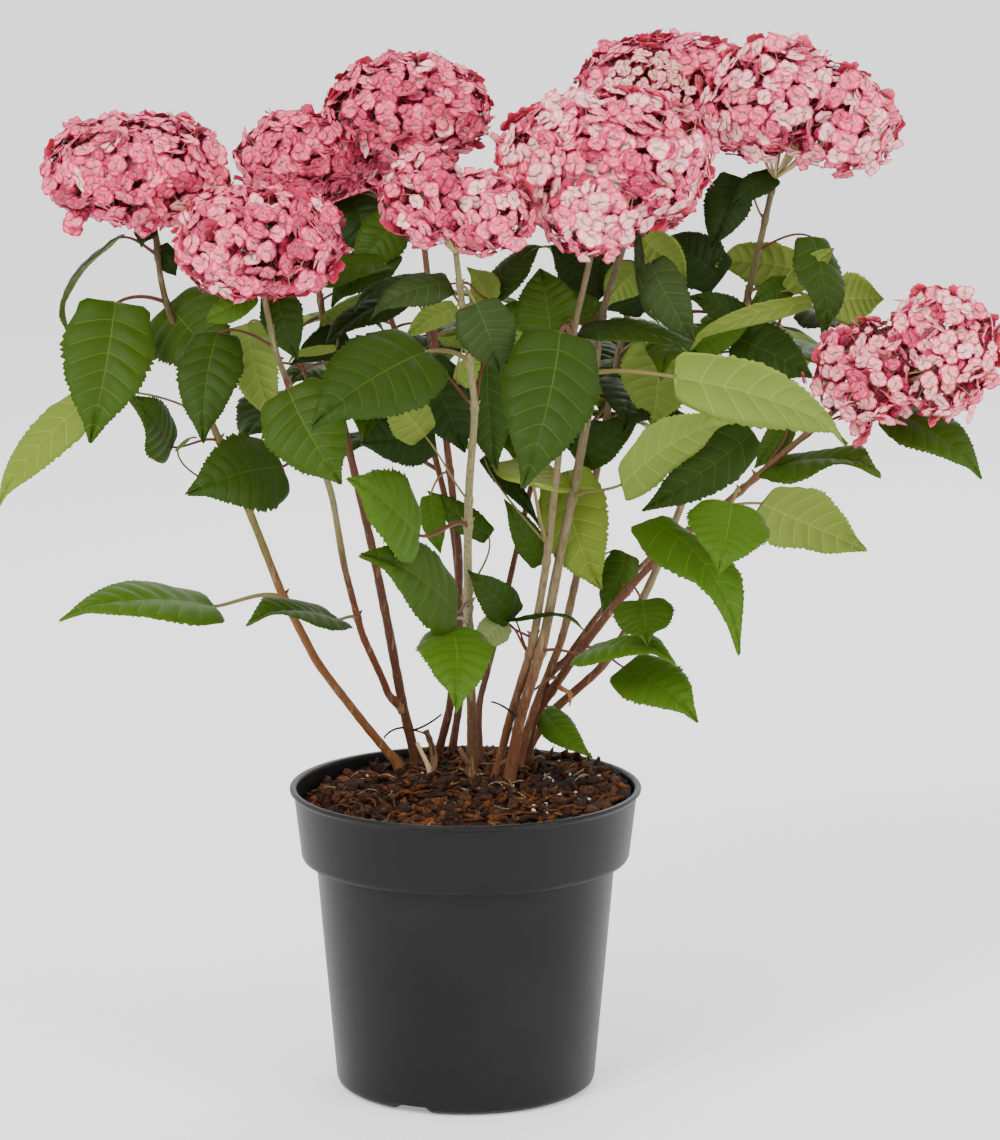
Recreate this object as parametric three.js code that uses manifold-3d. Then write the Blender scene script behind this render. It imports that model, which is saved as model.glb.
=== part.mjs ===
// A potted smooth hydrangea: a nursery pot of bark compost, a clump of leaning stems,
// mophead blooms at their tips and the leaves that hang between them.
// Millimetres, +Z up, front towards -Y. The origin is the centre of the pot's flat underside.

import * as THREE from 'three';
import { mergeVertices } from 'three/addons/utils/BufferGeometryUtils.js';
import Module from 'manifold-3d';

const wasm = await Module();
wasm.setup();

// ---------------------------------------------------------------- driving dimensions

const CLEARANCE = 0.35; // air kept between two pieces that meet

const POT = {
  height: 200,
  baseRadius: 84.7, // the wall's radius where it would meet the ground
  flare: 0.089, // how much the wall's radius grows with height
  wall: 2.4,
  floor: 8,
  footRound: 7,
  collarFoot: 152, // height of the collar's lower edge
  collarFootRadius: 107.6,
  collarTopRadius: 112.6,
  collarRound: 3,
  lipRadius: 115,
  lipHeight: 3,
  sides: 24,
};

const NOTCH = { count: 3, firstBearing: 245, width: 26, height: 5, depth: 16, slant: 0.8 };

const SOIL = {
  height: 190.5, // at the pot's axis, before the mound
  riseRight: 0.06,
  riseBack: 0.05,
  mound: 5,
  moundAt: [8, 55],
  moundRadius: 55,
  ripple: 1.2,
  cells: 10, // across the uneven top
};

const LIMB = { sides: 6, span: 56 }; // span: length of stem for each ring of faces

const BLADE = { thickness: 4, rows: 4, cup: 0.09, tip: 1.6, roundness: 0.62, fullness: 0.8 };

const BLOOM = { detail: 2, lumps: 0.07, underside: 0.95 };

// The way a blade's upper face looks.
const SKY = [0, 0, 1];
const SKY_FRONT = [0, -0.4, 1];
const FRONT = [0, -1, 0.3];
const FRONT_SKY = [0, -0.8, 0.6];
const FRONT_LEFT = [-0.5, -0.9, 0.5];
const FRONT_RIGHT = [0.5, -0.9, 0.5];
const BACK = [0, 1, 0.3];
const BACK_SKY = [0, 0.8, 0.6];

// Each limb runs through the points of its course, from the soil to its bloom.
const LIMBS = [
  {
    name: 'stem_far_left', radii: [3.5, 2.0],
    course: [
      [-34, 74, 182], [-80, 56, 244], [-107, 40, 288],
      [-140, 16, 378], [-192, -12, 521], [-199, -18, 582],
    ],
  },
  {
    name: 'stem_left_inner', radii: [3.9, 2.0],
    course: [
      [-30, 80, 182], [-43, 66, 242], [-57, 46, 329],
      [-74, 40, 406], [-94, 50, 502], [-100, 58, 582],
    ],
  },
  {
    name: 'bough_left', radii: [2.9, 2.0],
    course: [
      [-50, 62, 245], [-65, 42, 282], [-76, 20, 325],
      [-90, -17, 415], [-115, -52, 477], [-128, -76, 546],
    ],
  },
  {
    name: 'stem_red', radii: [3.3, 2.0],
    course: [[-23, 90, 184], [-10, 76, 238], [-4, 54, 337], [-13, 40, 423], [-27, 40, 553], [-34, 42, 612]],
  },
  {
    name: 'stem_back_left', radii: [2.9, 2.0],
    course: [
      [-12, 104, 184], [-3, 106, 248], [-10, 116, 356],
      [-34, 136, 435], [-56, 168, 500], [-66, 186, 542],
    ],
  },
  {
    name: 'stem_centre', radii: [3.9, 2.1],
    course: [
      [4, 44, 182], [4, 39, 238], [2, 28, 295], [2, -14, 392],
      [7, -46, 457], [-3, -82, 537], [-5, -92, 562],
    ],
  },
  {
    name: 'stem_slim', radii: [2.5, 1.8],
    course: [[10, 62, 182], [9, 66, 249], [25, 84, 299], [39, 104, 362], [60, 146, 440], [88, 184, 545]],
  },
  {
    name: 'stem_tall', radii: [4.3, 2.4],
    course: [
      [26, 22, 182], [31, 18, 222], [51, 8, 294], [61, 2, 350],
      [80, -12, 450], [91, -32, 534], [104, -42, 570],
    ],
  },
  {
    name: 'stem_mid', radii: [3.4, 2.0],
    course: [
      [16, 32, 182], [30, 22, 243], [46, 8, 300], [54, -9, 362],
      [60, -29, 423], [70, -61, 515], [80, -80, 560],
    ],
  },
  {
    name: 'stem_tall_back', radii: [3.3, 2.1],
    course: [
      [30, 46, 182], [42, 45, 232], [66, 50, 294], [76, 58, 340],
      [94, 74, 438], [115, 94, 540], [126, 104, 612],
    ],
  },
  {
    name: 'stem_dark_right', radii: [3.6, 2.2],
    course: [
      [38, 60, 182], [44, 53, 232], [82, 30, 292], [121, 8, 347],
      [173, -17, 394], [213, -42, 436], [240, -54, 460],
    ],
  },
  {
    name: 'shoot_right', radii: [2.5, 1.6],
    course: [[66, 54, 272], [82, 48, 297], [112, 40, 335], [134, 34, 358]],
  },
  {
    name: 'stem_high_right', radii: [3.4, 2.2],
    course: [
      [28, 74, 182], [48, 70, 225], [81, 62, 252], [107, 54, 291],
      [144, 50, 383], [175, 36, 482], [199, 20, 596],
    ],
  },
  { name: 'stub_cut', radii: [1.9, 1.4], course: [[-17, 40, 182], [-24, 50, 199], [-33, 62, 214]] },
];

// Each bloom is a lobe, or a few grown together: where it sits and its half sizes.
const BLOOMS = [
  { name: 'bloom_far_left', lobes: [{ at: [-208, -22, 607], half: [61, 56, 36] }] },
  { name: 'bloom_left_front', lobes: [{ at: [-127, -95, 570], half: [54, 52, 37] }] },
  { name: 'bloom_left_back', lobes: [{ at: [-104, 62, 605], half: [48, 46, 30] }] },
  { name: 'bloom_top_left', lobes: [{ at: [-37, 45, 638], half: [56, 52, 35] }] },
  {
    name: 'bloom_centre_front',
    lobes: [{ at: [-24, -96, 598], half: [30, 34, 32] }, { at: [13, -104, 589], half: [33, 34, 27] }],
  },
  {
    name: 'bloom_centre_right',
    lobes: [{ at: [89, -40, 615], half: [72, 60, 47] }, { at: [79, -84, 584], half: [31, 28, 26] }],
  },
  { name: 'bloom_top_back', lobes: [{ at: [136, 112, 643], half: [67, 58, 40] }] },
  {
    name: 'bloom_top_right',
    lobes: [
      { at: [197, 20, 644], half: [46, 50, 42] },
      { at: [220, 20, 644], half: [32, 40, 30] },
      { at: [241, 18, 630], half: [39, 44, 37] },
    ],
  },
  {
    name: 'bloom_far_right',
    lobes: [{ at: [300, -60, 496], half: [38, 38, 43] }, { at: [257, -54, 480], half: [37, 35, 35] }],
  },
  { name: 'bloom_back_right', lobes: [{ at: [97, 196, 570], half: [60, 54, 37] }] },
  { name: 'bloom_back_left', lobes: [{ at: [-70, 196, 560], half: [52, 50, 34] }] },
];

// Each leaf runs from the foot of its blade, where the stalk ends, to its drip tip.
const LEAVES = [
  {
    name: 'arched_far_left', foot: [-219, -20, 563], tip: [-258, -14, 501],
    width: 40, faces: SKY, arch: 12,
  },
  { name: 'big_far_left', foot: [-222, -32, 522], tip: [-236, -75, 440], width: 58, faces: FRONT, arch: 8 },
  { name: 'upper_left', foot: [-189, 4, 517], tip: [-149, -38, 482], width: 58, faces: FRONT, arch: 6 },
  { name: 'pointed_left', foot: [-156, -50, 506], tip: [-164, -86, 443], width: 40, faces: FRONT, arch: 6 },
  {
    name: 'outlying_left', foot: [-238, 6, 457], tip: [-303, 0, 385],
    width: 34, faces: FRONT_LEFT, arch: 8,
  },
  {
    name: 'folded_left', foot: [-188, -20, 427], tip: [-212, -64, 470],
    width: 36, faces: FRONT_SKY, arch: 6,
  },
  { name: 'facing_left', foot: [-115, -64, 422], tip: [-169, -122, 416], width: 52, faces: FRONT, arch: 6 },
  {
    name: 'lowest_left', foot: [-164, 16, 316], tip: [-259, -38, 323],
    width: 56, faces: SKY_FRONT, arch: 12,
  },
  { name: 'low_left', foot: [-84, 6, 309], tip: [-138, -49, 322], width: 50, faces: SKY_FRONT, arch: 8 },
  {
    name: 'drooping_left', foot: [-110, -96, 477], tip: [-76, -125, 422],
    width: 54, faces: FRONT, arch: 8,
  },
  {
    name: 'broad_centre_left', foot: [-23, -96, 501], tip: [-92, -157, 466],
    width: 64, faces: FRONT_SKY, arch: 8,
  },
  { name: 'broad_centre', foot: [60, -110, 515], tip: [37, -162, 429], width: 60, faces: FRONT, arch: 8 },
  {
    name: 'centre_low_left', foot: [-28, -72, 379], tip: [-69, -128, 426],
    width: 56, faces: FRONT_SKY, arch: 6,
  },
  {
    name: 'lower_centre', foot: [-6, -38, 323], tip: [-61, -104, 374],
    width: 56, faces: FRONT_SKY, arch: 8,
  },
  { name: 'lowest_centre', foot: [-8, -49, 315], tip: [-6, -113, 280], width: 48, faces: FRONT, arch: 8 },
  { name: 'pale_centre', foot: [65, 24, 403], tip: [89, 10, 328], width: 46, faces: FRONT, arch: 6 },
  { name: 'level_right', foot: [76, -20, 292], tip: [132, -75, 304], width: 44, faces: SKY_FRONT, arch: 8 },
  { name: 'heart_right', foot: [113, -52, 333], tip: [116, -90, 313], width: 38, faces: FRONT, arch: 3 },
  { name: 'low_right', foot: [103, -12, 281], tip: [148, -67, 259], width: 40, faces: FRONT_SKY, arch: 6 },
  { name: 'at_the_rim', foot: [51, 62, 236], tip: [83, 20, 215], width: 22, faces: FRONT_SKY, arch: 4 },
  {
    name: 'heart_far_right', foot: [170, -64, 399], tip: [160, -110, 367],
    width: 52, faces: FRONT, arch: 4,
  },
  {
    name: 'hanging_right', foot: [117, -29, 381], tip: [176, -90, 310],
    width: 42, faces: FRONT_RIGHT, arch: 22,
  },
  { name: 'pale_far_right', foot: [193, 24, 383], tip: [264, 56, 346], width: 48, faces: BACK, arch: 8 },
  { name: 'under_right', foot: [100, -38, 406], tip: [171, -9, 444], width: 50, faces: BACK_SKY, arch: 8 },
  {
    name: 'large_right', foot: [133, -96, 485], tip: [240, -139, 454],
    width: 60, faces: BACK_SKY, arch: 10,
  },
  {
    name: 'far_right_level', foot: [199, -20, 415], tip: [262, -75, 422],
    width: 50, faces: SKY_FRONT, arch: 8,
  },
  {
    name: 'outlying_right', foot: [271, -23, 452], tip: [330, -52, 416],
    width: 38, faces: FRONT_RIGHT, arch: 8,
  },
  {
    name: 'dark_hanging_right', foot: [223, 2, 560], tip: [232, -26, 500],
    width: 34, faces: FRONT_RIGHT, arch: 6,
  },
];

// Each dense mass is a spray of blades round a middle point, turning by the golden angle.
const MASSES = [
  {
    name: 'mass_centre_top', at: [-40, -10, 512], reach: [76, 54],
    blades: 5, width: 54, droop: 12, start: 190,
  },
  {
    name: 'mass_centre_inner', at: [-10, 24, 440], reach: [40, 44],
    blades: 4, width: 42, droop: 24, start: 60,
  },
  {
    name: 'mass_right_top', at: [166, 30, 524], reach: [68, 52],
    blades: 5, width: 54, droop: 22, start: 10,
  },
  {
    name: 'mass_back_left', at: [-50, 138, 470], reach: [80, 76],
    blades: 5, width: 58, droop: 20, start: 100,
  },
  {
    name: 'mass_back_right', at: [160, 128, 462], reach: [80, 78],
    blades: 5, width: 58, droop: 20, start: 40,
  },
];

const GOLDEN_ANGLE = THREE.MathUtils.degToRad(137.508);
const MASS_CORE = 15; // radius of the lump that joins a mass's blades
const MASS_BLADE = { thickness: 9, arch: 9, rows: 2 };

// ---------------------------------------------------------------- finishes

function finish(colour, roughness) {
  return new THREE.MeshStandardMaterial({ color: colour, roughness, metalness: 0 });
}

const FINISH = {
  pot: finish(0x2c2b2b, 0.42),
  soil: finish(0x3a241a, 0.95),
  bark: finish(0x8a5a3c, 0.7),
  leaf: finish(0x3f6b1f, 0.55),
  bloom: finish(0xdd7d92, 0.7),
};

// ---------------------------------------------------------------- solids from geometry

function vector([x, y, z]) {
  return new THREE.Vector3(x, y, z);
}

function solidOf(geometry) {
  geometry.deleteAttribute('normal');
  geometry.deleteAttribute('uv');
  const merged = mergeVertices(geometry, 1e-3);
  const mesh = new wasm.Mesh({
    numProp: 3,
    vertProperties: new Float32Array(merged.attributes.position.array),
    triVerts: new Uint32Array(merged.index.array),
  });
  return new wasm.Manifold(mesh);
}

function geometryOf(solid) {
  const { vertProperties, triVerts } = solid.getMesh();
  const geometry = new THREE.BufferGeometry();
  geometry.setAttribute('position', new THREE.BufferAttribute(vertProperties, 3));
  geometry.setIndex(new THREE.BufferAttribute(triVerts, 1));
  geometry.computeVertexNormals();
  return geometry;
}

// Moves each vertex of a geometry to the place that a function gives it.
function reshape(geometry, place) {
  const position = geometry.attributes.position;
  const from = new THREE.Vector3();
  for (let i = 0; i < position.count; i += 1) {
    const to = place(from.fromBufferAttribute(position, i));
    position.setXYZ(i, to.x, to.y, to.z);
  }
  return geometry;
}

// ---------------------------------------------------------------- pot and soil

function wallRadius(height) {
  return POT.baseRadius + POT.flare * height;
}

// The outline from the middle of the underside, up the outside, over the lip and down inside.
function potProfile() {
  const { height, wall, floor, footRound, collarFoot, collarRound, lipHeight } = POT;
  const outline = new THREE.Path();
  outline.moveTo(0, 0);
  outline.lineTo(wallRadius(0) - footRound, 0);
  outline.quadraticCurveTo(wallRadius(0), 0, wallRadius(footRound), footRound);
  outline.lineTo(wallRadius(collarFoot), collarFoot);
  outline.lineTo(POT.collarFootRadius - collarRound, collarFoot);
  const collarEdge = POT.collarFootRadius;
  outline.quadraticCurveTo(collarEdge, collarFoot, collarEdge, collarFoot + collarRound);
  outline.lineTo(POT.collarTopRadius, height - lipHeight);
  outline.lineTo(POT.lipRadius, height - lipHeight);
  outline.lineTo(POT.lipRadius, height);
  outline.lineTo(POT.collarTopRadius - wall, height);
  outline.lineTo(POT.collarFootRadius - wall, collarFoot + wall);
  outline.lineTo(wallRadius(collarFoot) - wall, collarFoot + wall);
  outline.lineTo(wallRadius(floor) - wall, floor);
  outline.lineTo(0, floor);
  return outline.getPoints(2);
}

// A slanted-sided block that cuts one drain notch through the foot.
function notchSolid(bearing) {
  const { width, height, depth, slant } = NOTCH;
  const block = new THREE.BoxGeometry(depth * 2, width, height * 2);
  reshape(block, (p) => p.set(p.x, p.y * (p.z > 0 ? slant : 2 - slant), p.z));
  block.translate(wallRadius(0), 0, 0);
  block.rotateZ(THREE.MathUtils.degToRad(bearing));
  return solidOf(block);
}

function potSolid() {
  const lathe = new THREE.LatheGeometry(potProfile(), POT.sides);
  lathe.rotateX(Math.PI / 2);
  let pot = solidOf(lathe);
  for (let i = 0; i < NOTCH.count; i += 1) {
    pot = pot.subtract(notchSolid(NOTCH.firstBearing + (i * 360) / NOTCH.count));
  }
  return pot;
}

function soilHeight(x, y) {
  const away = Math.hypot(x - SOIL.moundAt[0], y - SOIL.moundAt[1]) / SOIL.moundRadius;
  const ripple = SOIL.ripple * Math.sin(x / 13) * Math.cos(y / 11);
  const mound = SOIL.mound * Math.exp(-away * away);
  return SOIL.height + SOIL.riseRight * x + SOIL.riseBack * y + mound + ripple;
}

// The compost fills the pot, a clearance inside its wall, up to the uneven top.
function soilSolid(grow) {
  const gap = CLEARANCE + POT.wall - grow;
  const ledge = POT.collarFoot + POT.wall + CLEARANCE;
  const rim = POT.height + 20;
  const outline = new THREE.Path();
  outline.moveTo(0, POT.floor + CLEARANCE);
  outline.lineTo(wallRadius(POT.floor) - gap, POT.floor + CLEARANCE);
  outline.lineTo(wallRadius(POT.collarFoot) - gap, ledge);
  outline.lineTo(POT.collarFootRadius - gap - 1, ledge + 1);
  outline.lineTo(POT.collarTopRadius - gap - 1, POT.height);
  outline.lineTo(POT.collarTopRadius - gap - 1, rim);
  outline.lineTo(0, rim);
  const column = new THREE.LatheGeometry(outline.getPoints(), POT.sides);
  column.rotateX(Math.PI / 2);
  const side = POT.lipRadius * 2.2;
  const air = new THREE.BoxGeometry(side, side, 1, SOIL.cells, SOIL.cells, 1);
  reshape(air, (p) => p.set(p.x, p.y, p.z > 0 ? rim + 20 : soilHeight(p.x, p.y) + grow));
  return solidOf(column).subtract(solidOf(air));
}

// ---------------------------------------------------------------- limbs, blooms, leaves

// A limb is a cylinder carried along its course, tapering from foot to tip.
function limbSolid({ radii, course }, grow) {
  const curve = new THREE.CatmullRomCurve3(course.map(vector), false, 'centripetal');
  const steps = Math.max(3, Math.round(curve.getLength() / LIMB.span));
  const rod = new THREE.CylinderGeometry(1, 1, 1, LIMB.sides, steps);
  const depthAxis = new THREE.Vector3(0, 1, 0);
  return solidOf(
    reshape(rod, (p) => {
      const t = p.y + 0.5;
      const along = curve.getTangentAt(t);
      const across = along.clone().cross(depthAxis).normalize();
      const outward = across.clone().cross(along);
      const radius = THREE.MathUtils.lerp(radii[0], radii[1], t) + grow;
      return curve
        .getPointAt(t)
        .addScaledVector(across, p.x * radius)
        .addScaledVector(outward, p.z * radius);
    }),
  );
}

// A lobe is a ball drawn out to its half sizes, flatter below and uneven all over.
function lobeSolid({ at, half }, grow) {
  const ball = new THREE.IcosahedronGeometry(1, BLOOM.detail);
  const [x, y, z] = at;
  return solidOf(
    reshape(ball, (p) => {
      const wave = Math.sin(4.1 * p.x + x) + Math.sin(4.7 * p.y + y) + Math.sin(5.3 * p.z + z);
      const swell = 1 + (BLOOM.lumps * wave) / 3;
      const drop = p.z < 0 ? BLOOM.underside : 1;
      return p.set(
        x + p.x * swell * (half[0] + grow),
        y + p.y * swell * (half[1] + grow),
        z + p.z * swell * drop * (half[2] + grow),
      );
    }),
  );
}

function bloomSolid({ lobes }, grow) {
  const solids = lobes.map((lobe) => lobeSolid(lobe, grow));
  return solids.reduce((whole, lobe) => whole.add(lobe));
}

// Half the blade's width at a share t of its length: round at the foot, drawn out at the tip.
function bladeOutline(t) {
  const rounded = t <= 0 || t >= 1 ? 0 : Math.sin(Math.PI * t ** BLADE.roundness) ** BLADE.fullness;
  return rounded + (t <= 0 ? 0.34 : 0);
}

// A blade is a thin slab, arched along its midrib and cupped across it.
function bladeSolid({ foot, tip, width, faces, arch, thickness = BLADE.thickness, rows = BLADE.rows }, grow) {
  const start = vector(foot);
  const along = vector(tip).sub(start);
  const length = along.length();
  along.normalize();
  const upper = vector(faces);
  upper.addScaledVector(along, -upper.dot(along)).normalize();
  const across = along.clone().cross(upper);
  const slab = new THREE.BoxGeometry(2, 1, 1, 2, 1, rows);
  return solidOf(
    reshape(slab, (p) => {
      const t = 0.5 - p.z;
      const halfWidth = Math.max((width / 2) * bladeOutline(t), BLADE.tip) + grow;
      const side = p.x * halfWidth;
      const rise = arch * 4 * t * (1 - t) - BLADE.cup * Math.abs(side) + p.y * (thickness + 2 * grow);
      const reach = length * t + 2 * grow * (t - 0.5);
      return start
        .clone()
        .addScaledVector(along, reach)
        .addScaledVector(across, side)
        .addScaledVector(upper, rise);
    }),
  );
}

// A dense mass: blades that leave one lump on bearings a golden angle apart.
function massSolid({ at, reach, blades, width, droop, start }, grow) {
  const middle = vector(at);
  const core = new THREE.IcosahedronGeometry(MASS_CORE + grow, 0);
  core.translate(...at);
  let mass = solidOf(core);
  for (let i = 0; i < blades; i += 1) {
    const bearing = THREE.MathUtils.degToRad(start) + i * GOLDEN_ANGLE;
    const lift = 16 - 9 * (i % 4);
    const foot = middle.clone().add(new THREE.Vector3(0, 0, lift * 0.5));
    const tip = middle.clone().add(
      new THREE.Vector3(Math.cos(bearing) * reach[0], Math.sin(bearing) * reach[1], lift - droop),
    );
    const blade = { foot: foot.toArray(), tip: tip.toArray(), width, faces: SKY, ...MASS_BLADE };
    mass = mass.add(bladeSolid(blade, grow));
  }
  return mass;
}

// ---------------------------------------------------------------- assembly

const plant = new THREE.Group();
const placed = [];

function boxesMeet(a, b) {
  return [0, 1, 2].every((k) => a.min[k] <= b.max[k] && b.min[k] <= a.max[k]);
}

function largestBody(solid) {
  const bodies = solid.decompose();
  return bodies.reduce((best, body) => (body.volume() > best.volume() ? body : best));
}

// Adds one piece, cut clear of every piece that is already there.
function place(name, material, make) {
  let solid = make(0);
  for (const other of placed) {
    if (boxesMeet(solid.boundingBox(), other.boundingBox())) {
      solid = solid.subtract(other);
    }
  }
  solid = largestBody(solid);
  placed.push(make(CLEARANCE));
  const mesh = new THREE.Mesh(geometryOf(solid), material);
  mesh.name = name;
  plant.add(mesh);
}

const pot = new THREE.Mesh(geometryOf(potSolid()), FINISH.pot);
pot.name = 'pot';
plant.add(pot);

place('soil', FINISH.soil, soilSolid);
for (const limb of LIMBS) {
  place(limb.name, FINISH.bark, (grow) => limbSolid(limb, grow));
}
for (const bloom of BLOOMS) {
  place(bloom.name, FINISH.bloom, (grow) => bloomSolid(bloom, grow));
}
for (const leaf of LEAVES) {
  place(`leaf_${leaf.name}`, FINISH.leaf, (grow) => bladeSolid(leaf, grow));
}
for (const mass of MASSES) {
  place(mass.name, FINISH.leaf, (grow) => massSolid(mass, grow));
}

export default plant;
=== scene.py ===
"""A potted smooth hydrangea in flower.

The CAD frame gives the pot, the compost, the stems, one thin solid for each outer leaf, a few
solids for the dense leaf masses and one solid for each bloom. This script puts the real surfaces
in their place: barked stems with swollen joints, veined and toothed leaves on their stalks,
mopheads of four-petalled florets, and a moulded pot full of bark chips. Metres, +Z up.
"""

from __future__ import annotations

import logging
import math
from dataclasses import dataclass, field
from enum import Enum
from typing import Any, Iterable, Sequence

import bpy
import numpy as np
from mathutils import Matrix, Vector


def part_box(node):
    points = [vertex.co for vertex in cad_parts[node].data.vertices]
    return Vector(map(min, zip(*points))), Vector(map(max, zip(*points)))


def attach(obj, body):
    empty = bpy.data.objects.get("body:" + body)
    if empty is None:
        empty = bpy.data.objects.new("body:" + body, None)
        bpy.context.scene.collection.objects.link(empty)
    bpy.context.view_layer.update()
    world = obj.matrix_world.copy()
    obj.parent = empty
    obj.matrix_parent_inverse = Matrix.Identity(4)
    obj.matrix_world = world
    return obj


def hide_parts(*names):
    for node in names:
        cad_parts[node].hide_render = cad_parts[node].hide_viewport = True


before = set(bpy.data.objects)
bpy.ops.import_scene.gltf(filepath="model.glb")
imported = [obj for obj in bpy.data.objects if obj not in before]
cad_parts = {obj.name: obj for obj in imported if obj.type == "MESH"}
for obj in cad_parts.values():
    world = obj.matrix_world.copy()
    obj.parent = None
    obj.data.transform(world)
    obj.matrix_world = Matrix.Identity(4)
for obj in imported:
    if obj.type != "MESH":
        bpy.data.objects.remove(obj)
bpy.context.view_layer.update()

Array = np.ndarray
Colour = tuple[float, float, float]
MM = 0.001
UP = np.array([0.0, 0.0, 1.0])
GOLDEN_ANGLE = math.radians(137.508)
FLIP = [0, 3, 2, 1]  # turns a quad over and keeps the corner that its diagonal starts from
LOG = logging.getLogger("hydrangea")


# ---------------------------------------------------------------- vectors and curves


def unit(v: Array) -> Array:
    """Vectors along the last axis, scaled to length one."""
    return v / np.maximum(np.linalg.norm(v, axis=-1, keepdims=True), 1e-12)


def smoothstep(low: float, high: float, x: Array) -> Array:
    """Zero below low, one above high, and 3k^2 - 2k^3 of the share k between them."""
    k = np.clip((x - low) / (high - low), 0.0, 1.0)
    return k * k * (3.0 - 2.0 * k)


def bezier(points: Sequence[Array], count: int) -> Array:
    """Cubic curve through four control points.

    Args:
        points: The four control points, each one vector or an array of vectors.
        count: How many points to return along the curve.

    Returns:
        (..., count, 3) points: the four controls weighted by (1-t)^3, 3t(1-t)^2, 3t^2(1-t), t^3.
    """
    t = np.linspace(0.0, 1.0, count)[:, None]
    weights = ((1 - t) ** 3, 3 * t * (1 - t) ** 2, 3 * t * t * (1 - t), t**3)
    return sum(w * np.asarray(p)[..., None, :] for w, p in zip(weights, points))


def waves(p: Array, scale: float, seed: int) -> Array:
    """Smooth uneven field: a mean of five sine waves across space in seeded directions.

    Args:
        p: (..., 3) points in metres.
        scale: Length of the waves in metres.
        seed: Seed of their directions and phases.

    Returns:
        (...) values between about -1 and 1.
    """
    rng = np.random.default_rng(seed)
    turn = unit(rng.normal(size=(5, 3))) * rng.uniform(0.7, 1.6, (5, 1))
    return np.sin(p @ turn.T * (math.tau / scale) + rng.uniform(0, math.tau, 5)).mean(-1) * 1.6


def around(turn: Array) -> Array:
    """Level unit vectors (cos, sin, 0) at the given bearings."""
    return np.stack([np.cos(turn), np.sin(turn), 0 * turn], -1)


def on_disc(radius: float, count: int, rng: np.random.Generator) -> Array:
    """Even random places (x, y): the radius times the root of chance, at a random bearing."""
    reach = radius * np.sqrt(rng.random(count))
    return (reach[:, None] * around(rng.uniform(0, math.tau, count)))[:, :2]


def lay(shapes: Array, side: Array, facing: Array, places: Array) -> Array:
    """Turns each shape so that its X runs along side and its Z along facing, and moves it.

    Args:
        shapes: (n, p, 3) points.
        side: (n, 3) unit vectors square to facing.
        facing: (n, 3) unit vectors.
        places: (n, 3) where the shapes' origins go.

    Returns:
        (n, p, 3) points.
    """
    axes = np.stack([side, np.cross(facing, side), facing], 1)
    return np.einsum("npk,nkj->npj", shapes, axes) + places[:, None]


# ---------------------------------------------------------------- meshes from arrays


def grid_quads(rows: int, columns: int, wrap: bool = False) -> Array:
    """Corner numbers of the quads of a grid of points, row by row.

    Args:
        rows: Rows of points.
        columns: Points in each row.
        wrap: Whether the last column joins the first.

    Returns:
        (n, 4) corner numbers.
    """
    across = np.arange(columns if wrap else columns - 1)
    row = np.arange(rows - 1)[:, None] * columns
    near, far = row + across, row + (across + 1) % columns
    return np.stack([near, far, far + columns, near + columns], -1).reshape(-1, 4)


def cap_quads(sides: int) -> Array:
    """Quads that close a ring with an even number of points: (0,1,2,3), (0,3,4,5) and so on."""
    step = np.arange(1, sides - 2, 2)
    return np.stack([0 * step, step, step + 1, step + 2], -1)


def rim(grid: Array) -> Array:
    """The numbers round the outside of a grid of point numbers, in order."""
    return np.concatenate([grid[:, 0], grid[-1, 1:], grid[-2::-1, -1], grid[0, -2:0:-1]])


def copies(quads: Array, size: int, count: int) -> Array:
    """The quads of one shape of size points, repeated for count such shapes."""
    return (quads[None] + np.arange(count)[:, None, None] * size).reshape(-1, 4)


def rings(paths: Array, radii: Array, sides: int) -> tuple[Array, Array]:
    """Closed tubes along paths, all with the same number of rings.

    Each ring is the path's point plus radius times cos(a) of one vector and sin(a) of another,
    both square to the path, from the normal of the plane that the path bends in.

    Args:
        paths: (tubes, points, 3) paths.
        radii: (tubes, points) or (tubes, points, sides) radii.
        sides: Points in each ring, an even number.

    Returns:
        (v, 3) vertices and (q, 4) quads facing out.
    """
    tubes, points, _ = paths.shape
    along = unit(np.gradient(paths, axis=1))
    plane = np.cross(paths[:, -1] - paths[:, 0], paths[:, points // 2] - paths[:, 0])
    flat = np.linalg.norm(plane, axis=1, keepdims=True) < 1e-9
    plane = unit(np.where(flat, np.array([0.12, 1.0, 0.07]), plane))[:, None, :]
    side = unit(np.cross(along, plane))
    other = np.cross(side, along)
    angle = np.arange(sides) * (math.tau / sides)
    spread = radii[..., None] if radii.ndim == 2 else radii
    ring = side[:, :, None, :] * np.cos(angle)[:, None] + other[:, :, None, :] * np.sin(angle)[:, None]
    verts = (paths[:, :, None, :] + ring * spread[..., None]).reshape(-1, 3)
    skin = grid_quads(points, sides, wrap=True)[:, ::-1]
    cap = cap_quads(sides)
    one = np.concatenate([skin, cap, cap[:, ::-1] + (points - 1) * sides])
    return verts, copies(one, points * sides, tubes)


def lathe(profile: Array, sectors: int) -> tuple[Array, Array]:
    """A profile of (radius, height) points turned round the Z axis and closed at both ends.

    Args:
        profile: (n, 2) points, from the middle of the underside to the middle of the top.
        sectors: Points in each ring, an even number.

    Returns:
        (v, 3) vertices and (q, 4) quads facing out.
    """
    angle = np.arange(sectors) * (math.tau / sectors)
    radius, height = profile[:, :1], np.repeat(profile[:, 1:], sectors, 1)
    verts = np.stack([radius * np.cos(angle), radius * np.sin(angle), height], -1).reshape(-1, 3)
    cap = cap_quads(sectors)
    skin = grid_quads(len(profile), sectors, wrap=True)
    return verts, np.concatenate([skin, cap[:, ::-1], cap + (len(profile) - 1) * sectors])


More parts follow.
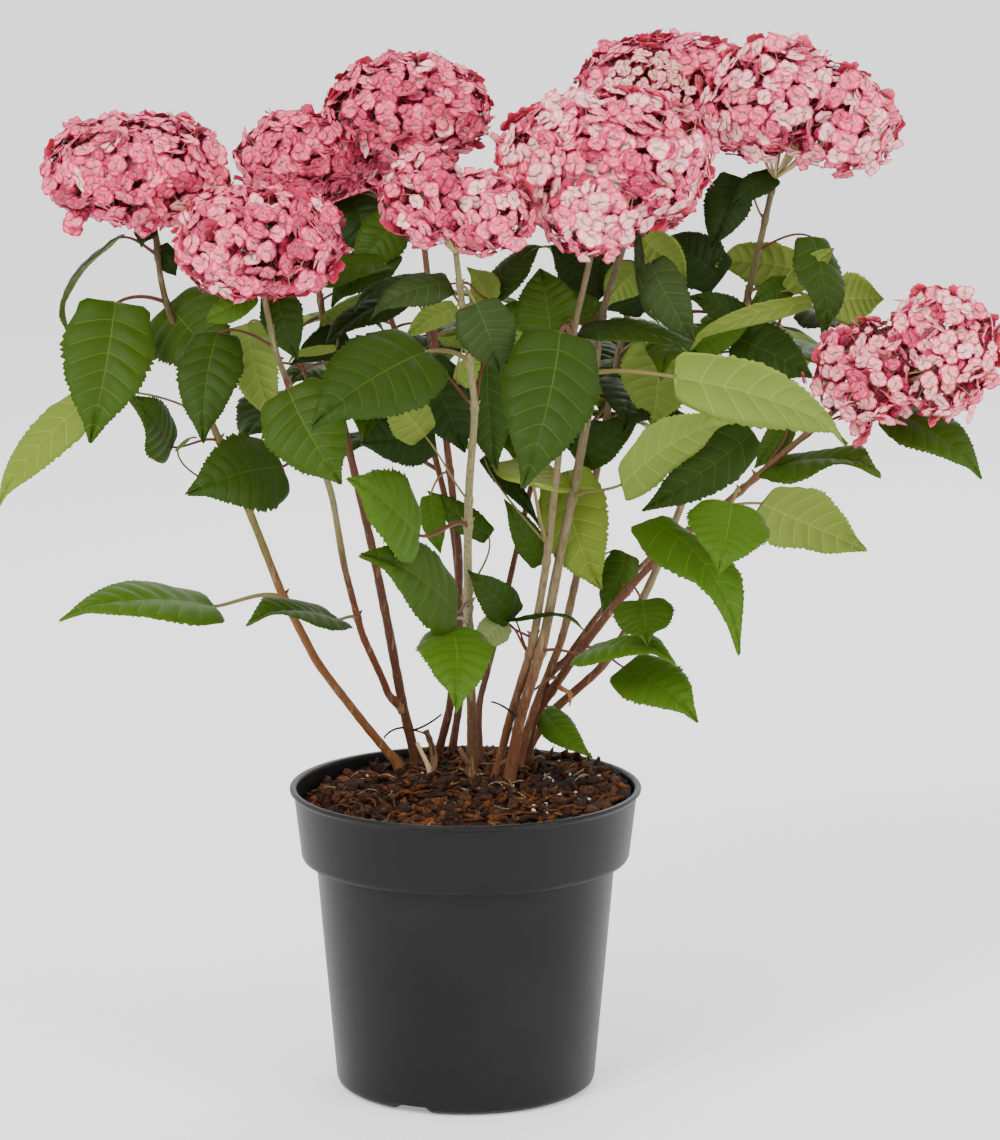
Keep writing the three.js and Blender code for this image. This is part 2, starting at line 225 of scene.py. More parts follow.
@dataclass
class MeshStore:
    """Collects patches of quads and turns them into one Blender object."""

    verts: list[Array] = field(default_factory=list)
    quads: list[Array] = field(default_factory=list)
    slots: list[Array] = field(default_factory=list)
    values: list[Array] = field(default_factory=list)
    count: int = 0

    def add(self, verts: Array, quads: Array, slots: Array | int = 0, value: Array | float = 0.0) -> None:
        """Adds one patch.

        Args:
            verts: (v, 3) points in metres.
            quads: (q, 4) corner numbers within the patch.
            slots: Material slot of each quad, or one for all.
            value: Number stored on each vertex, or one for all.
        """
        self.verts.append(verts)
        self.quads.append(quads + self.count)
        self.slots.append(np.broadcast_to(slots, len(quads)))
        self.values.append(np.broadcast_to(value, len(verts)))
        self.count += len(verts)

    def build(
        self, name: str, finishes: Iterable[bpy.types.Material], attribute: str = ""
    ) -> bpy.types.Object:
        """Makes the object.

        Args:
            name: The object's name.
            finishes: One material for each slot.
            attribute: Name for the stored number, or empty for none.

        Returns:
            The linked object, smooth shaded, at the origin.
        """
        mesh = bpy.data.meshes.new(name)
        verts, quads = np.concatenate(self.verts), np.concatenate(self.quads)
        mesh.vertices.add(len(verts))
        mesh.vertices.foreach_set("co", verts.astype(np.float32).ravel())
        mesh.loops.add(4 * len(quads))
        mesh.loops.foreach_set("vertex_index", quads.astype(np.int32).ravel())
        mesh.polygons.add(len(quads))
        mesh.polygons.foreach_set("loop_start", np.arange(0, 4 * len(quads), 4, dtype=np.int32))
        mesh.polygons.foreach_set("material_index", np.concatenate(self.slots).astype(np.int32))
        if attribute:
            layer = mesh.attributes.new(attribute, "FLOAT", "POINT")
            layer.data.foreach_set("value", np.concatenate(self.values).astype(np.float32))
        mesh.update(calc_edges=True)
        mesh.polygons.foreach_set("use_smooth", np.ones(len(quads), dtype=bool))
        for finish in finishes:
            mesh.materials.append(finish)
        piece = bpy.data.objects.new(name, mesh)
        bpy.context.scene.collection.objects.link(piece)
        return piece

    def publish(
        self,
        name: str,
        slot: str,
        finishes: Iterable[bpy.types.Material],
        stands_for: Iterable[str] = (),
        attribute: str = "",
    ) -> None:
        """Makes a piece of the plant or its pot, which rides on the plant, and reports it.

        Args:
            name: The piece's name.
            slot: Not used.
            finishes: One material for each slot of the mesh.
            stands_for: The CAD nodes that the piece replaces.
            attribute: Name for the stored number, or empty for none.
        """
        piece = self.build(name, finishes, attribute)
        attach(piece, "root")
        if stands_for:
            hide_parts(*stands_for)
        LOG.info("%s: %d triangles", name, 2 * sum(len(q) for q in self.quads))


# ---------------------------------------------------------------- shader tools


class Wire:
    """A shader socket whose arithmetic adds Math nodes."""

    def __init__(self, shader: Shader, socket: bpy.types.NodeSocket) -> None:
        """Keeps the shader that owns the socket, and the socket."""
        self.shader = shader
        self.socket = socket

    def _math(self, operation: str, *values: Any) -> Wire:
        """Adds one Math node on the given values."""
        return self.shader.node("ShaderNodeMath", {"operation": operation}, dict(enumerate(values)))

    def __add__(self, other: Any) -> Wire:
        """The sum."""
        return self._math("ADD", self, other)

    def __mul__(self, other: Any) -> Wire:
        """The product."""
        return self._math("MULTIPLY", self, other)

    def __sub__(self, other: Any) -> Wire:
        """The difference."""
        return self._math("SUBTRACT", self, other)

    def __rsub__(self, other: Any) -> Wire:
        """A number less this value."""
        return self._math("SUBTRACT", other, self)

    __radd__ = __add__

    def above(self, edge: float, width: float) -> Wire:
        """Zero below edge, one above edge + width, straight between them."""
        settings = {"clamp": True}
        values = {0: self, 1: edge, 2: edge + width, 3: 0.0, 4: 1.0}
        return self.shader.node("ShaderNodeMapRange", settings, values)


class Shader:
    """A material's node tree round one Principled shader."""

    def __init__(self, name: str, roughness: float) -> None:
        """Makes the material.

        Args:
            name: The material's name.
            roughness: Its roughness, where nothing else feeds it.
        """
        self.material = bpy.data.materials.new(name)
        self.material.use_nodes = True
        self.tree = self.material.node_tree
        self.principled = self.tree.nodes["Principled BSDF"]
        self.set("Roughness", roughness)

    def set(self, name: str, value: Any) -> None:
        """Sets or links one socket of the Principled shader."""
        self._feed(self.principled.inputs[name], value)

    def _feed(self, target: bpy.types.NodeSocket, value: Any) -> None:
        """Links a wire, or sets a number or colour, on a socket."""
        if isinstance(value, Wire):
            self.tree.links.new(value.socket, target)
        elif isinstance(value, tuple) and len(value) == 3 and target.type == "RGBA":
            target.default_value = (*value, 1.0)
        else:
            target.default_value = value

    def node(
        self,
        kind: str,
        settings: dict[str, Any] | None = None,
        values: dict[Any, Any] | None = None,
        out: Any = 0,
    ) -> Wire:
        """Adds a node.

        Args:
            kind: The node's type.
            settings: Its properties; "stops" gives a ramp's (place, colour) pairs.
            values: Numbers, colours or wires for its sockets, by name or number.
            out: The output to return.

        Returns:
            The output as a wire.
        """
        node = self.tree.nodes.new(kind)
        for key, value in (settings or {}).items():
            if key == "stops":
                ramp = node.color_ramp.elements
                while len(ramp) < len(value):
                    ramp.new(1.0)
                for stop, (place, colour) in zip(ramp, value):
                    stop.position, stop.color = place, (*colour, 1.0)
            else:
                setattr(node, key, value)
        for key, value in (values or {}).items():
            self._feed(node.inputs[key], value)
        return Wire(self, node.outputs[out])

    def place(self) -> Wire:
        """The object's own coordinates."""
        return self.node("ShaderNodeTexCoord", out="Object")

    def noise(self, scale: float, detail: float = 3.0, vector: Wire | None = None) -> Wire:
        """Noise between 0 and 1, with scale in cycles for each metre."""
        values = {"Vector": vector or self.place(), "Scale": scale, "Detail": detail}
        return self.node("ShaderNodeTexNoise", None, values)

    def mix(self, share: Any, first: Any, second: Any) -> Wire:
        """A colour between first and second."""
        values = {"Factor": share, 6: first, 7: second}
        return self.node("ShaderNodeMix", {"data_type": "RGBA"}, values, out=2)

    def bump(self, height: Wire, strength: float, distance: float) -> None:
        """Feeds a height field to the surface normal."""
        values = {"Height": height, "Strength": strength, "Distance": distance}
        self.set("Normal", self.node("ShaderNodeBump", None, values))


@dataclass(frozen=True)
class PlainFinish:
    """One plain colour, for a zone of a leaf or a petal that its own faces already draw."""

    name: str
    colour: Colour
    roughness: float = 0.5
    sheen: float = 0.0
    glow: float = 0.0  # how much light spreads inside the tissue
    gloss: float = 0.2

    def make(self) -> bpy.types.Material:
        """The material."""
        shader = Shader(self.name, self.roughness)
        shader.set("Base Color", self.colour)
        shader.set("Specular IOR Level", self.gloss)
        if self.sheen:
            shader.set("Sheen Weight", self.sheen)
        if self.glow:
            shader.set("Subsurface Weight", self.glow)
            shader.set("Subsurface Radius", (0.6, 0.5, 0.3))
            shader.set("Subsurface Scale", 2 * MM)
        return shader.material


def make_all(finishes: Iterable[Any]) -> list[bpy.types.Material]:
    """The materials of several finishes, in order."""
    return [finish.make() for finish in finishes]


@dataclass(frozen=True)
class BarkFinish:
    """Young bark that runs from brown at the foot through a middle colour to the top's.

    The foot's brown ends and the middle colour is reached at the two given shares of the stem.
    """

    name: str
    foot: Colour
    middle: Colour
    top: Colour
    turns: tuple[float, float] = (0.22, 0.42)

    def make(self) -> bpy.types.Material:
        """The material, which follows the stem's own rise value."""
        shader = Shader(self.name, 0.55)
        rise = shader.node("ShaderNodeAttribute", {"attribute_name": "rise"}, out="Fac")
        values = {"Vector": shader.place(), "Scale": (1.0, 1.0, 0.16)}
        stretch = shader.node("ShaderNodeMapping", None, values)
        mottle = shader.noise(420.0, 4.0, stretch)
        uneven = rise + (mottle - 0.5) * 0.22
        stops = [(self.turns[0], self.foot), (self.turns[1], self.middle), (0.95, self.top)]
        colour = shader.node("ShaderNodeValToRGB", {"stops": stops}, {0: uneven})
        streak = shader.noise(700.0, 3.0, stretch).above(0.5, 0.2)
        colour = shader.mix(streak * 0.5, colour, tuple(0.4 * c for c in self.foot))
        bleach = shader.noise(260.0, 2.0, stretch).above(0.6, 0.1)
        colour = shader.mix(bleach * 0.3, colour, (0.34, 0.27, 0.15))
        pore = shader.node("ShaderNodeTexVoronoi", None, {"Vector": shader.place(), "Scale": 380.0})
        dot = 1.0 - pore.above(0.12, 0.12)
        shader.set("Base Color", shader.mix(dot * 0.22, colour, (0.36, 0.26, 0.15)))
        shader.set("Roughness", 0.48 + mottle * 0.25)
        shader.set("Specular IOR Level", 0.25)
        shader.bump(mottle + dot * 0.4, 0.45, 0.4 * MM)
        return shader.material


@dataclass(frozen=True)
class PotPlastic:
    """Moulded charcoal plastic, satin, with faint flow marks."""

    name: str = "charcoal_plastic"
    colour: Colour = (0.0056, 0.0052, 0.0052)
    scuff: Colour = (0.014, 0.013, 0.013)

    def make(self) -> bpy.types.Material:
        """The material."""
        shader = Shader(self.name, 0.4)
        cloud = shader.noise(14.0, 4.0)
        grain = shader.noise(1400.0, 2.0)
        shader.set("Base Color", shader.mix(cloud.above(0.45, 0.3) * 0.3, self.colour, self.scuff))
        shader.set("Roughness", 0.34 + cloud * 0.14)
        shader.set("Specular IOR Level", 0.17)
        shader.bump(grain + cloud * 0.5, 0.08, 0.2 * MM)
        return shader.material


@dataclass(frozen=True)
class CompostFinish:
    """Damp, crumbly bark compost."""

    name: str
    dark: Colour
    light: Colour
    grain: float = 600.0

    def make(self) -> bpy.types.Material:
        """The material."""
        shader = Shader(self.name, 0.85)
        crumb = shader.noise(self.grain, 5.0)
        fibre = shader.noise(self.grain * 2.6, 3.0)
        shader.set("Base Color", shader.mix(crumb.above(0.42, 0.25), self.dark, self.light))
        shader.set("Roughness", 0.7 + fibre * 0.25)
        shader.set("Specular IOR Level", 0.14)
        shader.bump(crumb + fibre * 0.5, 0.6, 0.8 * MM)
        return shader.material


# ---------------------------------------------------------------- reading the CAD frame


@dataclass
class CadSolid:
    """The vertices and triangles of one CAD node."""

    name: str

    def __post_init__(self) -> None:
        """Reads the node's mesh."""
        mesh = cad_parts[self.name].data
        mesh.calc_loop_triangles()
        co = np.empty(3 * len(mesh.vertices), np.float32)
        mesh.vertices.foreach_get("co", co)
        corners = np.empty(3 * len(mesh.loop_triangles), np.int32)
        mesh.loop_triangles.foreach_get("vertices", corners)
        self.points = co.reshape(-1, 3).astype(float)
        self.faces = self.points[corners.reshape(-1, 3)]
        cross = np.cross(self.faces[:, 1] - self.faces[:, 0], self.faces[:, 2] - self.faces[:, 0])
        self.areas = np.linalg.norm(cross, axis=1) / 2
        self.normals = unit(cross)
        self.low, self.high = self.points.min(0), self.points.max(0)

    def scatter(self, count: int, rng: np.random.Generator) -> tuple[Array, Array]:
        """Even random points on the surface.

        Args:
            count: How many.
            rng: Source of chance.

        Returns:
            (count, 3) points and their face normals: corner a plus shares of edges b-a and c-a.
        """
        pick = rng.choice(len(self.faces), count, p=self.areas / self.areas.sum())
        share = rng.random((count, 2))
        share = np.where(share.sum(1, keepdims=True) > 1, 1 - share, share)
        a, b, c = self.faces[pick].transpose(1, 0, 2)
        return a + share[:, :1] * (b - a) + share[:, 1:] * (c - a), self.normals[pick]

    def slice_centre(self, height: float) -> tuple[Array, float]:
        """Middle and area of the section at a height.

        Each face that the level crosses gives one edge of the section. The area is half the
        sum of the edges' cross products about their mean point, and the middle weighs each by it.

        Args:
            height: The level in metres.

        Returns:
            The middle of the section and its area.
        """
        level = self.faces[:, :, 2] - height
        above = level > 0
        crossed = (above.sum(1) == 1) | (above.sum(1) == 2)
        corners, level, above = self.faces[crossed], level[crossed], above[crossed]
        ends = np.roll(corners, -1, 1), np.roll(level, -1, 1), np.roll(above, -1, 1)
        share = np.clip(level / np.where(level == ends[1], 1, level - ends[1]), 0, 1)[..., None]
        cut = (corners + share * (ends[0] - corners))[above != ends[2]].reshape(-1, 2, 3)
        middle = cut.mean((0, 1))
        side = cut - middle
        area = np.abs(side[:, 0, 0] * side[:, 1, 1] - side[:, 0, 1] * side[:, 1, 0]) / 2
        weight = area / max(area.sum(), 1e-12)
        return middle + (side.sum(1) / 3 * weight[:, None]).sum(0), float(area.sum())


class Facing(Enum):
    """The way a leaf's upper face looks."""

    SKY = (0.0, 0.0, 1.0)
    SKY_FRONT = (0.0, -0.4, 1.0)
    FRONT = (0.0, -1.0, 0.3)
    FRONT_SKY = (0.0, -0.8, 0.6)
    BACK = (0.0, 1.0, 0.3)
    BACK_SKY = (0.0, 0.8, 0.6)
    LEFT = (-1.0, -0.4, 0.4)
    RIGHT = (1.0, -0.4, 0.4)


END_SHARE = 0.08  # the share of a blade's length over which its foot shows as the broader end
TIP_SHARE = 0.06  # the share of its length whose points are averaged for its foot and tip


@dataclass
class Blade:
    """Where one leaf blade lies, in metres."""

    foot: Array
    tip: Array
    upper: Array
    width: float
    arch: float
    tint: str = ""
    name: str = ""
    stem: str = ""
    level: float = 0.0
    start: Array | None = None

    @property
    def along(self) -> Array:
        """Direction from foot to tip."""
        return unit(self.tip - self.foot)

    @property
    def length(self) -> float:
        """Distance from foot to tip."""
        return float(np.linalg.norm(self.tip - self.foot))

    @classmethod
    def from_cad(cls, name: str) -> Blade:
        """Reads a blade back from its thin CAD solid.

        The long, cross and thick axes are the eigenvectors of the points' spread, weighted by
        area. The foot is the end with more breadth near it, and the upper side is the one
        that the middle of the solid is arched towards.

        Args:
            name: The CAD node.

        Returns:
            The blade.
        """
        solid = CadSolid(name)
        centres = solid.faces.mean(1)
        weight = solid.areas / solid.areas.sum()
        middle = (centres * weight[:, None]).sum(0)
        away = centres - middle
        _, axes = np.linalg.eigh((away * weight[:, None]).T @ away)
        thick = axes[:, 0]
        u, v, h = ((solid.points - middle) @ axes[:, ::-1]).T
        span = u.max() - u.min()
        end = END_SHARE * span
        near_low, near_high = u < u.min() + end, u > u.max() - end
        if np.abs(v[near_low]).max() < np.abs(v[near_high]).max():
            u = -u
        bend = np.polyfit(u, h, 2)[0]
        if bend > 0:
            thick, bend = -thick, -bend
        tipmost = TIP_SHARE * span
        ends = [solid.points[np.abs(u - edge) < tipmost].mean(0) for edge in (u.min(), u.max())]
        width = v.max() - v.min()
        return cls(ends[0], ends[1], thick, float(width), float(-bend * span * span / 4), name=name)


@dataclass
class Stem:
    """A limb's centre line and radius, read from its CAD node."""

    name: str
    slices: int = 26
    buried: float = 8 * MM  # a foot this near the compost needs nothing to grow from
    drops: tuple[float, float] = (8 * MM, 46 * MM)  # how far below its foot a fork is looked for

    def __post_init__(self) -> None:
        """Slices the node from foot to tip."""
        solid = CadSolid(self.name)
        inset = 1.2 * MM
        levels = np.linspace(solid.low[2] + inset, solid.high[2] - inset, self.slices)
        cuts = [solid.slice_centre(level) for level in levels]
        self.line = np.array([middle for middle, _ in cuts])
        lean = unit(np.gradient(self.line, axis=0))[:, 2]
        area = np.array([area for _, area in cuts])
        raw = np.sqrt(area * np.abs(lean) / math.pi)
        self.radius = np.polyval(np.polyfit(levels, raw, 1), levels)
        self.joints: list[float] = []

    def root_into(self, others: Iterable[Stem], ground: float) -> None:
        """Carries a stem that starts above the compost down into the stem that it grew from.

        The added stretch is a cubic curve from that stem to this one's foot.

        Args:
            others: The other stems.
            ground: Height of the compost.
        """
        foot, way = self.line[0], unit(self.line[0] - self.line[2])
        if foot[2] < ground + self.buried:
            return
        choices = []
        for other in others:
            for drop in np.linspace(*self.drops, 20):
                target = other.at(np.array(foot[2] - drop))[0]
                if other is not self and target[2] >= other.line[0, 2]:
                    miss = float(np.linalg.norm(foot + way * drop - target)) + 0.2 * drop
                    choices.append((miss, target))
        target = min(choices, key=lambda choice: choice[0])[1]
        reach = np.linalg.norm(foot - target)
        added = bezier([target, target + 0.3 * reach * UP, foot + 0.35 * reach * way, foot], 9)[:-1]
        self.line = np.concatenate([added, self.line])
        self.radius = np.concatenate([np.full(len(added), self.radius[0]), self.radius])

    def level(self, rise: float) -> float:
        """The height at a share of the way from the stem's foot to its top."""
        foot, top = self.line[0, 2], self.line[-1, 2]
        return float(foot + rise * (top - foot))

    def at(self, height: Array) -> tuple[Array, Array]:
        """Points and radii on the centre line at given heights."""
        levels = self.line[:, 2]
        point = np.stack([np.interp(height, levels, self.line[:, k]) for k in range(3)], -1)
        return point, np.interp(height, levels, self.radius)

    def closest(self, foot: Array, drop: float) -> tuple[float, float]:
        """The best place on this stem for a leaf stalk.

        Args:
            foot: Where the blade starts.
            drop: How far below the foot the stalk should leave the stem.

        Returns:
            A cost, the distance plus what the height misses the drop by, and the height.
        """
        gap = np.linalg.norm(self.line - foot, axis=1)
        miss = np.abs(foot[2] - drop - self.line[:, 2])
        cost = gap + 0.6 * miss
        pick = int(cost[:-2].argmin())
        return float(cost[pick]), float(self.line[pick, 2])


# ---------------------------------------------------------------- stems


class Bark(Enum):
    """The kinds of bark on the plant: foot, middle and top colours, and where they turn."""

    RUSSET = (0.150, 0.052, 0.013), (0.150, 0.125, 0.038), (0.055, 0.034, 0.014), (0.28, 0.48)
    FORKED = (0.110, 0.030, 0.010), (0.200, 0.180, 0.075), (0.120, 0.100, 0.040), (0.30, 0.46)
    DARK = (0.078, 0.025, 0.009), (0.120, 0.042, 0.018), (0.110, 0.060, 0.028), (0.35, 0.60)
    TAN = (0.105, 0.036, 0.011), (0.185, 0.140, 0.068), (0.105, 0.078, 0.038), (0.17, 0.36)
    GREEN = (0.080, 0.034, 0.013), (0.240, 0.215, 0.105), (0.180, 0.160, 0.065), (0.12, 0.26)
    STRAW = (0.260, 0.150, 0.060), (0.400, 0.290, 0.140), (0.420, 0.310, 0.160), (0.10, 0.30)

    def make(self) -> bpy.types.Material:
        """The material of this bark."""
        return BarkFinish(f"bark_{self.name.lower()}", *self.value).make()


@dataclass
class StemClump:
    """The clump of stems, each with its bark relief, its joints and its buds."""

    barks: dict[str, Bark]
    sides: int = 16
    step: float = 1.6 * MM
    sunk: float = 3 * MM  # how far the foot goes down into the compost
    smoothing: int = 13  # rings that each point of the centre line is averaged over
    joint_swell: tuple[float, float] = (0.24, 2.2 * MM)  # share of the radius, and half height
    foot_swell: tuple[float, float] = (0.35, 9 * MM)
    bud_reach: tuple[float, ...] = (0.4, 1.0, 1.6, 2.4)  # in stem radii, as the next row is
    bud_girth: tuple[float, ...] = (0.5, 0.5, 0.36, 0.08)

    def relief(self, stem: Stem) -> tuple[Array, Array, Array]:
        """Centre line, radii and rise values of one stem's surface.

        The radius tapers, swells by a bell curve at each joint and at the foot, and carries
        five shallow ribs that turn slowly up the stem, plus an uneven field.

        Args:
            stem: The stem, with its joints known.

        Returns:
            (n, 3) path, (n, sides) radii and (n * sides) rise values from 0 to 1.
        """
        length = np.linalg.norm(np.diff(stem.line, axis=0), axis=1).sum()
        foot, top = stem.line[0, 2], stem.line[-1, 2]
        height = np.linspace(foot - self.sunk, top, max(int(length / self.step), 12))
        path, radius = stem.at(np.clip(height, foot, None))
        path[:, 2] = height
        kernel = np.hanning(self.smoothing + 2)[1:-1]
        reach = self.smoothing // 2
        padded = np.pad(path, ((reach, reach), (0, 0)), mode="reflect", reflect_type="odd")
        kernel = kernel / kernel.sum()
        path = np.stack([np.convolve(padded[:, k], kernel, "valid") for k in range(3)], -1)
        swellings = [(joint, *self.joint_swell) for joint in stem.joints]
        for level, share, spread in [*swellings, (height[0], *self.foot_swell)]:
            radius = radius * (1 + share * np.exp(-(((height - level) / spread) ** 2)))
        angle = np.arange(self.sides) * (math.tau / self.sides)
        share = (height - height[0]) / (height[-1] - height[0])
        ribs = 0.035 * np.sin(5 * angle[None] + 9 * share[:, None])
        knots = 0.05 * waves(path, 14 * MM, len(stem.name))[:, None]
        ring = 0.02 * np.sin(share * 260)[:, None] * (share[:, None] < 0.35)
        return path, radius[:, None] * (1 + ribs + knots + ring), np.repeat(share, self.sides)

    def add_buds(self, store: MeshStore, stem: Stem) -> None:
        """Adds a pair of pointed buds at each joint, a quarter turn from the pair below.

        Args:
            store: Where the buds go.
            stem: The stem, with its joints known.
        """
        if not stem.joints:
            return
        joints = np.sort(np.array(stem.joints))
        place, radius = stem.at(np.repeat(joints, 2))
        turn = len(stem.name) + np.repeat(np.arange(len(joints)), 2) * math.pi / 2
        turn = turn + np.tile([0.0, math.pi], len(joints))
        foot = place + UP * 1.2 * MM
        way = unit(around(turn) + 1.1 * UP)
        reach = np.outer(radius, self.bud_reach)
        path = foot[:, None] + way[:, None] * reach[..., None]
        verts, quads = rings(path, np.outer(radius, self.bud_girth), 6)
        levels = stem.line[:, 2]
        rise = (np.repeat(joints, 2) - levels[0]) / (levels[-1] - levels[0])
        store.add(verts, quads, 0, np.repeat(rise, len(verts) // len(rise)))

    def build(self, stem: Stem) -> None:
        """Makes one stem's piece, which stands for its CAD node.

        Args:
            stem: The stem.
        """
        path, radii, rise = self.relief(stem)
        store = MeshStore()
        verts, quads = rings(path[None], radii[None], self.sides)
        store.add(verts, quads, 0, rise)
        self.add_buds(store, stem)
        bark = self.barks[stem.name].make()
        store.publish(f"{stem.name}_bark", "stem", [bark], [stem.name], "rise")


class Dead(Enum):
    """The kinds of dead growth at the foot of the plant."""

    STALK = PlainFinish("dead_stalk", (0.016, 0.010, 0.008), 0.7)
    TWIG = PlainFinish("dead_twig", (0.120, 0.060, 0.028), 0.7)


@dataclass(frozen=True)
class Spur:
    """A dead stalk or snag: the stem and height in mm that it leaves, its way and radii in mm."""

    stem: str
    height: float
    way: tuple[tuple[float, float, float], ...]
    radii: tuple[float, float]
    kind: Dead
    knots: float = 0.0


SPURS = [
    Spur("stub_cut", 184, ((3, 18, 3), (2, 22, 10), (-4, 26, 23)), (2.5, 1.9), Dead.TWIG, 0.3),
    Spur("stem_left_inner", 222, ((-6, -6, 2), (-12, -8, 1), (-16, -9, -5)), (0.8, 0.6), Dead.STALK),
    Spur("stem_left_inner", 220, ((8, -6, 2), (16, -8, 8), (22, -8, 13)), (0.8, 0.6), Dead.STALK),
    Spur("stem_left_inner", 221, ((10, -7, 0), (16, -8, -1), (17, -8, -16)), (0.7, 0.5), Dead.STALK),
    Spur("stem_tall", 240, ((-7, -6, 8), (-13, -8, 13), (-19, -9, 14)), (0.9, 0.6), Dead.STALK),
    Spur("stem_dark_right", 262, ((-6, -6, 4), (-12, -8, -2), (-17, -9, -6)), (1.1, 0.7), Dead.TWIG, 0.2),
    Spur("stem_centre", 202, ((-4, -5, 5), (-6, -6, 10), (-8, -6, 14)), (2.2, 1.5), Dead.TWIG, 0.2),
    Spur("stem_mid", 206, ((4, -6, 4), (9, -8, 8), (12, -8, 10)), (1.6, 1.1), Dead.TWIG, 0.2),
]


@dataclass
class DeadWood:
    """Dead leaf stalks and broken snags near the foot of the stems."""

    stems: dict[str, Stem]
    points: int = 14

    def build(self) -> None:
        """Makes all the dead bits as one piece.

        Each is a tube along a cubic curve, with a sine of its length standing for its knots.
        """
        store = MeshStore()
        kinds = list(Dead)
        share = np.linspace(0, 1, self.points)
        for spur in SPURS:
            start = self.stems[spur.stem].at(np.array(spur.height * MM))[0]
            course = bezier([start, *(start + np.array(step) * MM for step in spur.way)], self.points)
            radius = (spur.radii[0] + (spur.radii[1] - spur.radii[0]) * share) * MM
            radius = radius * (1 + spur.knots * np.sin(math.tau * 3.3 * share) ** 4)
            verts, quads = rings(course[None], radius[None], 8)
            store.add(verts, quads, kinds.index(spur.kind))
        store.publish("dead_wood", "stem", make_all(kind.value for kind in kinds))


# ---------------------------------------------------------------- leaves


@dataclass(frozen=True)
class LeafTint:
    """The colours of one kind of leaf: above, its veins, below, and the veins below."""

    name: str
    top: Colour
    vein: Colour
    under: Colour
    under_vein: Colour

    def finishes(self) -> list[PlainFinish]:
        """The four finishes, in slot order."""
        return [
            PlainFinish(f"leaf_{self.name}_top", self.top, 0.5, glow=0.06, gloss=0.09),
            PlainFinish(f"leaf_{self.name}_vein", self.vein, 0.55, glow=0.06, gloss=0.09),
            PlainFinish(f"leaf_{self.name}_under", self.under, 0.65, glow=0.08, gloss=0.07),
            PlainFinish(f"leaf_{self.name}_under_vein", self.under_vein, 0.65, glow=0.08, gloss=0.07),
        ]


TINTS = [
    LeafTint(name, *colours)
    for name, colours in {
        "deep": ((0.012, 0.027, 0.003), (0.028, 0.050, 0.004), (0.10, 0.14, 0.030), (0.15, 0.19, 0.05)),
        "forest": ((0.019, 0.042, 0.003), (0.046, 0.078, 0.008), (0.14, 0.19, 0.040), (0.20, 0.25, 0.07)),
        "mid": ((0.029, 0.060, 0.004), (0.064, 0.104, 0.009), (0.15, 0.212, 0.036), (0.215, 0.275, 0.07)),
        "bright": ((0.043, 0.093, 0.005), (0.082, 0.142, 0.010), (0.165, 0.235, 0.04), (0.23, 0.30, 0.075)),
        # pale: a lighter green, partly the leaves' own tone and partly painted light for the centre leaf lit
        # through from behind
        "pale": ((0.128, 0.180, 0.020), (0.20, 0.255, 0.050), (0.135, 0.185, 0.030), (0.20, 0.25, 0.060)),
        "bluish": ((0.022, 0.039, 0.007), (0.050, 0.073, 0.019), (0.14, 0.18, 0.06), (0.20, 0.24, 0.09)),
        "dry": ((0.20, 0.075, 0.022), (0.14, 0.050, 0.016), (0.28, 0.13, 0.05), (0.16, 0.07, 0.03)),
    }.items()
]
TINT_NUMBER = {tint.name: number for number, tint in enumerate(TINTS)}


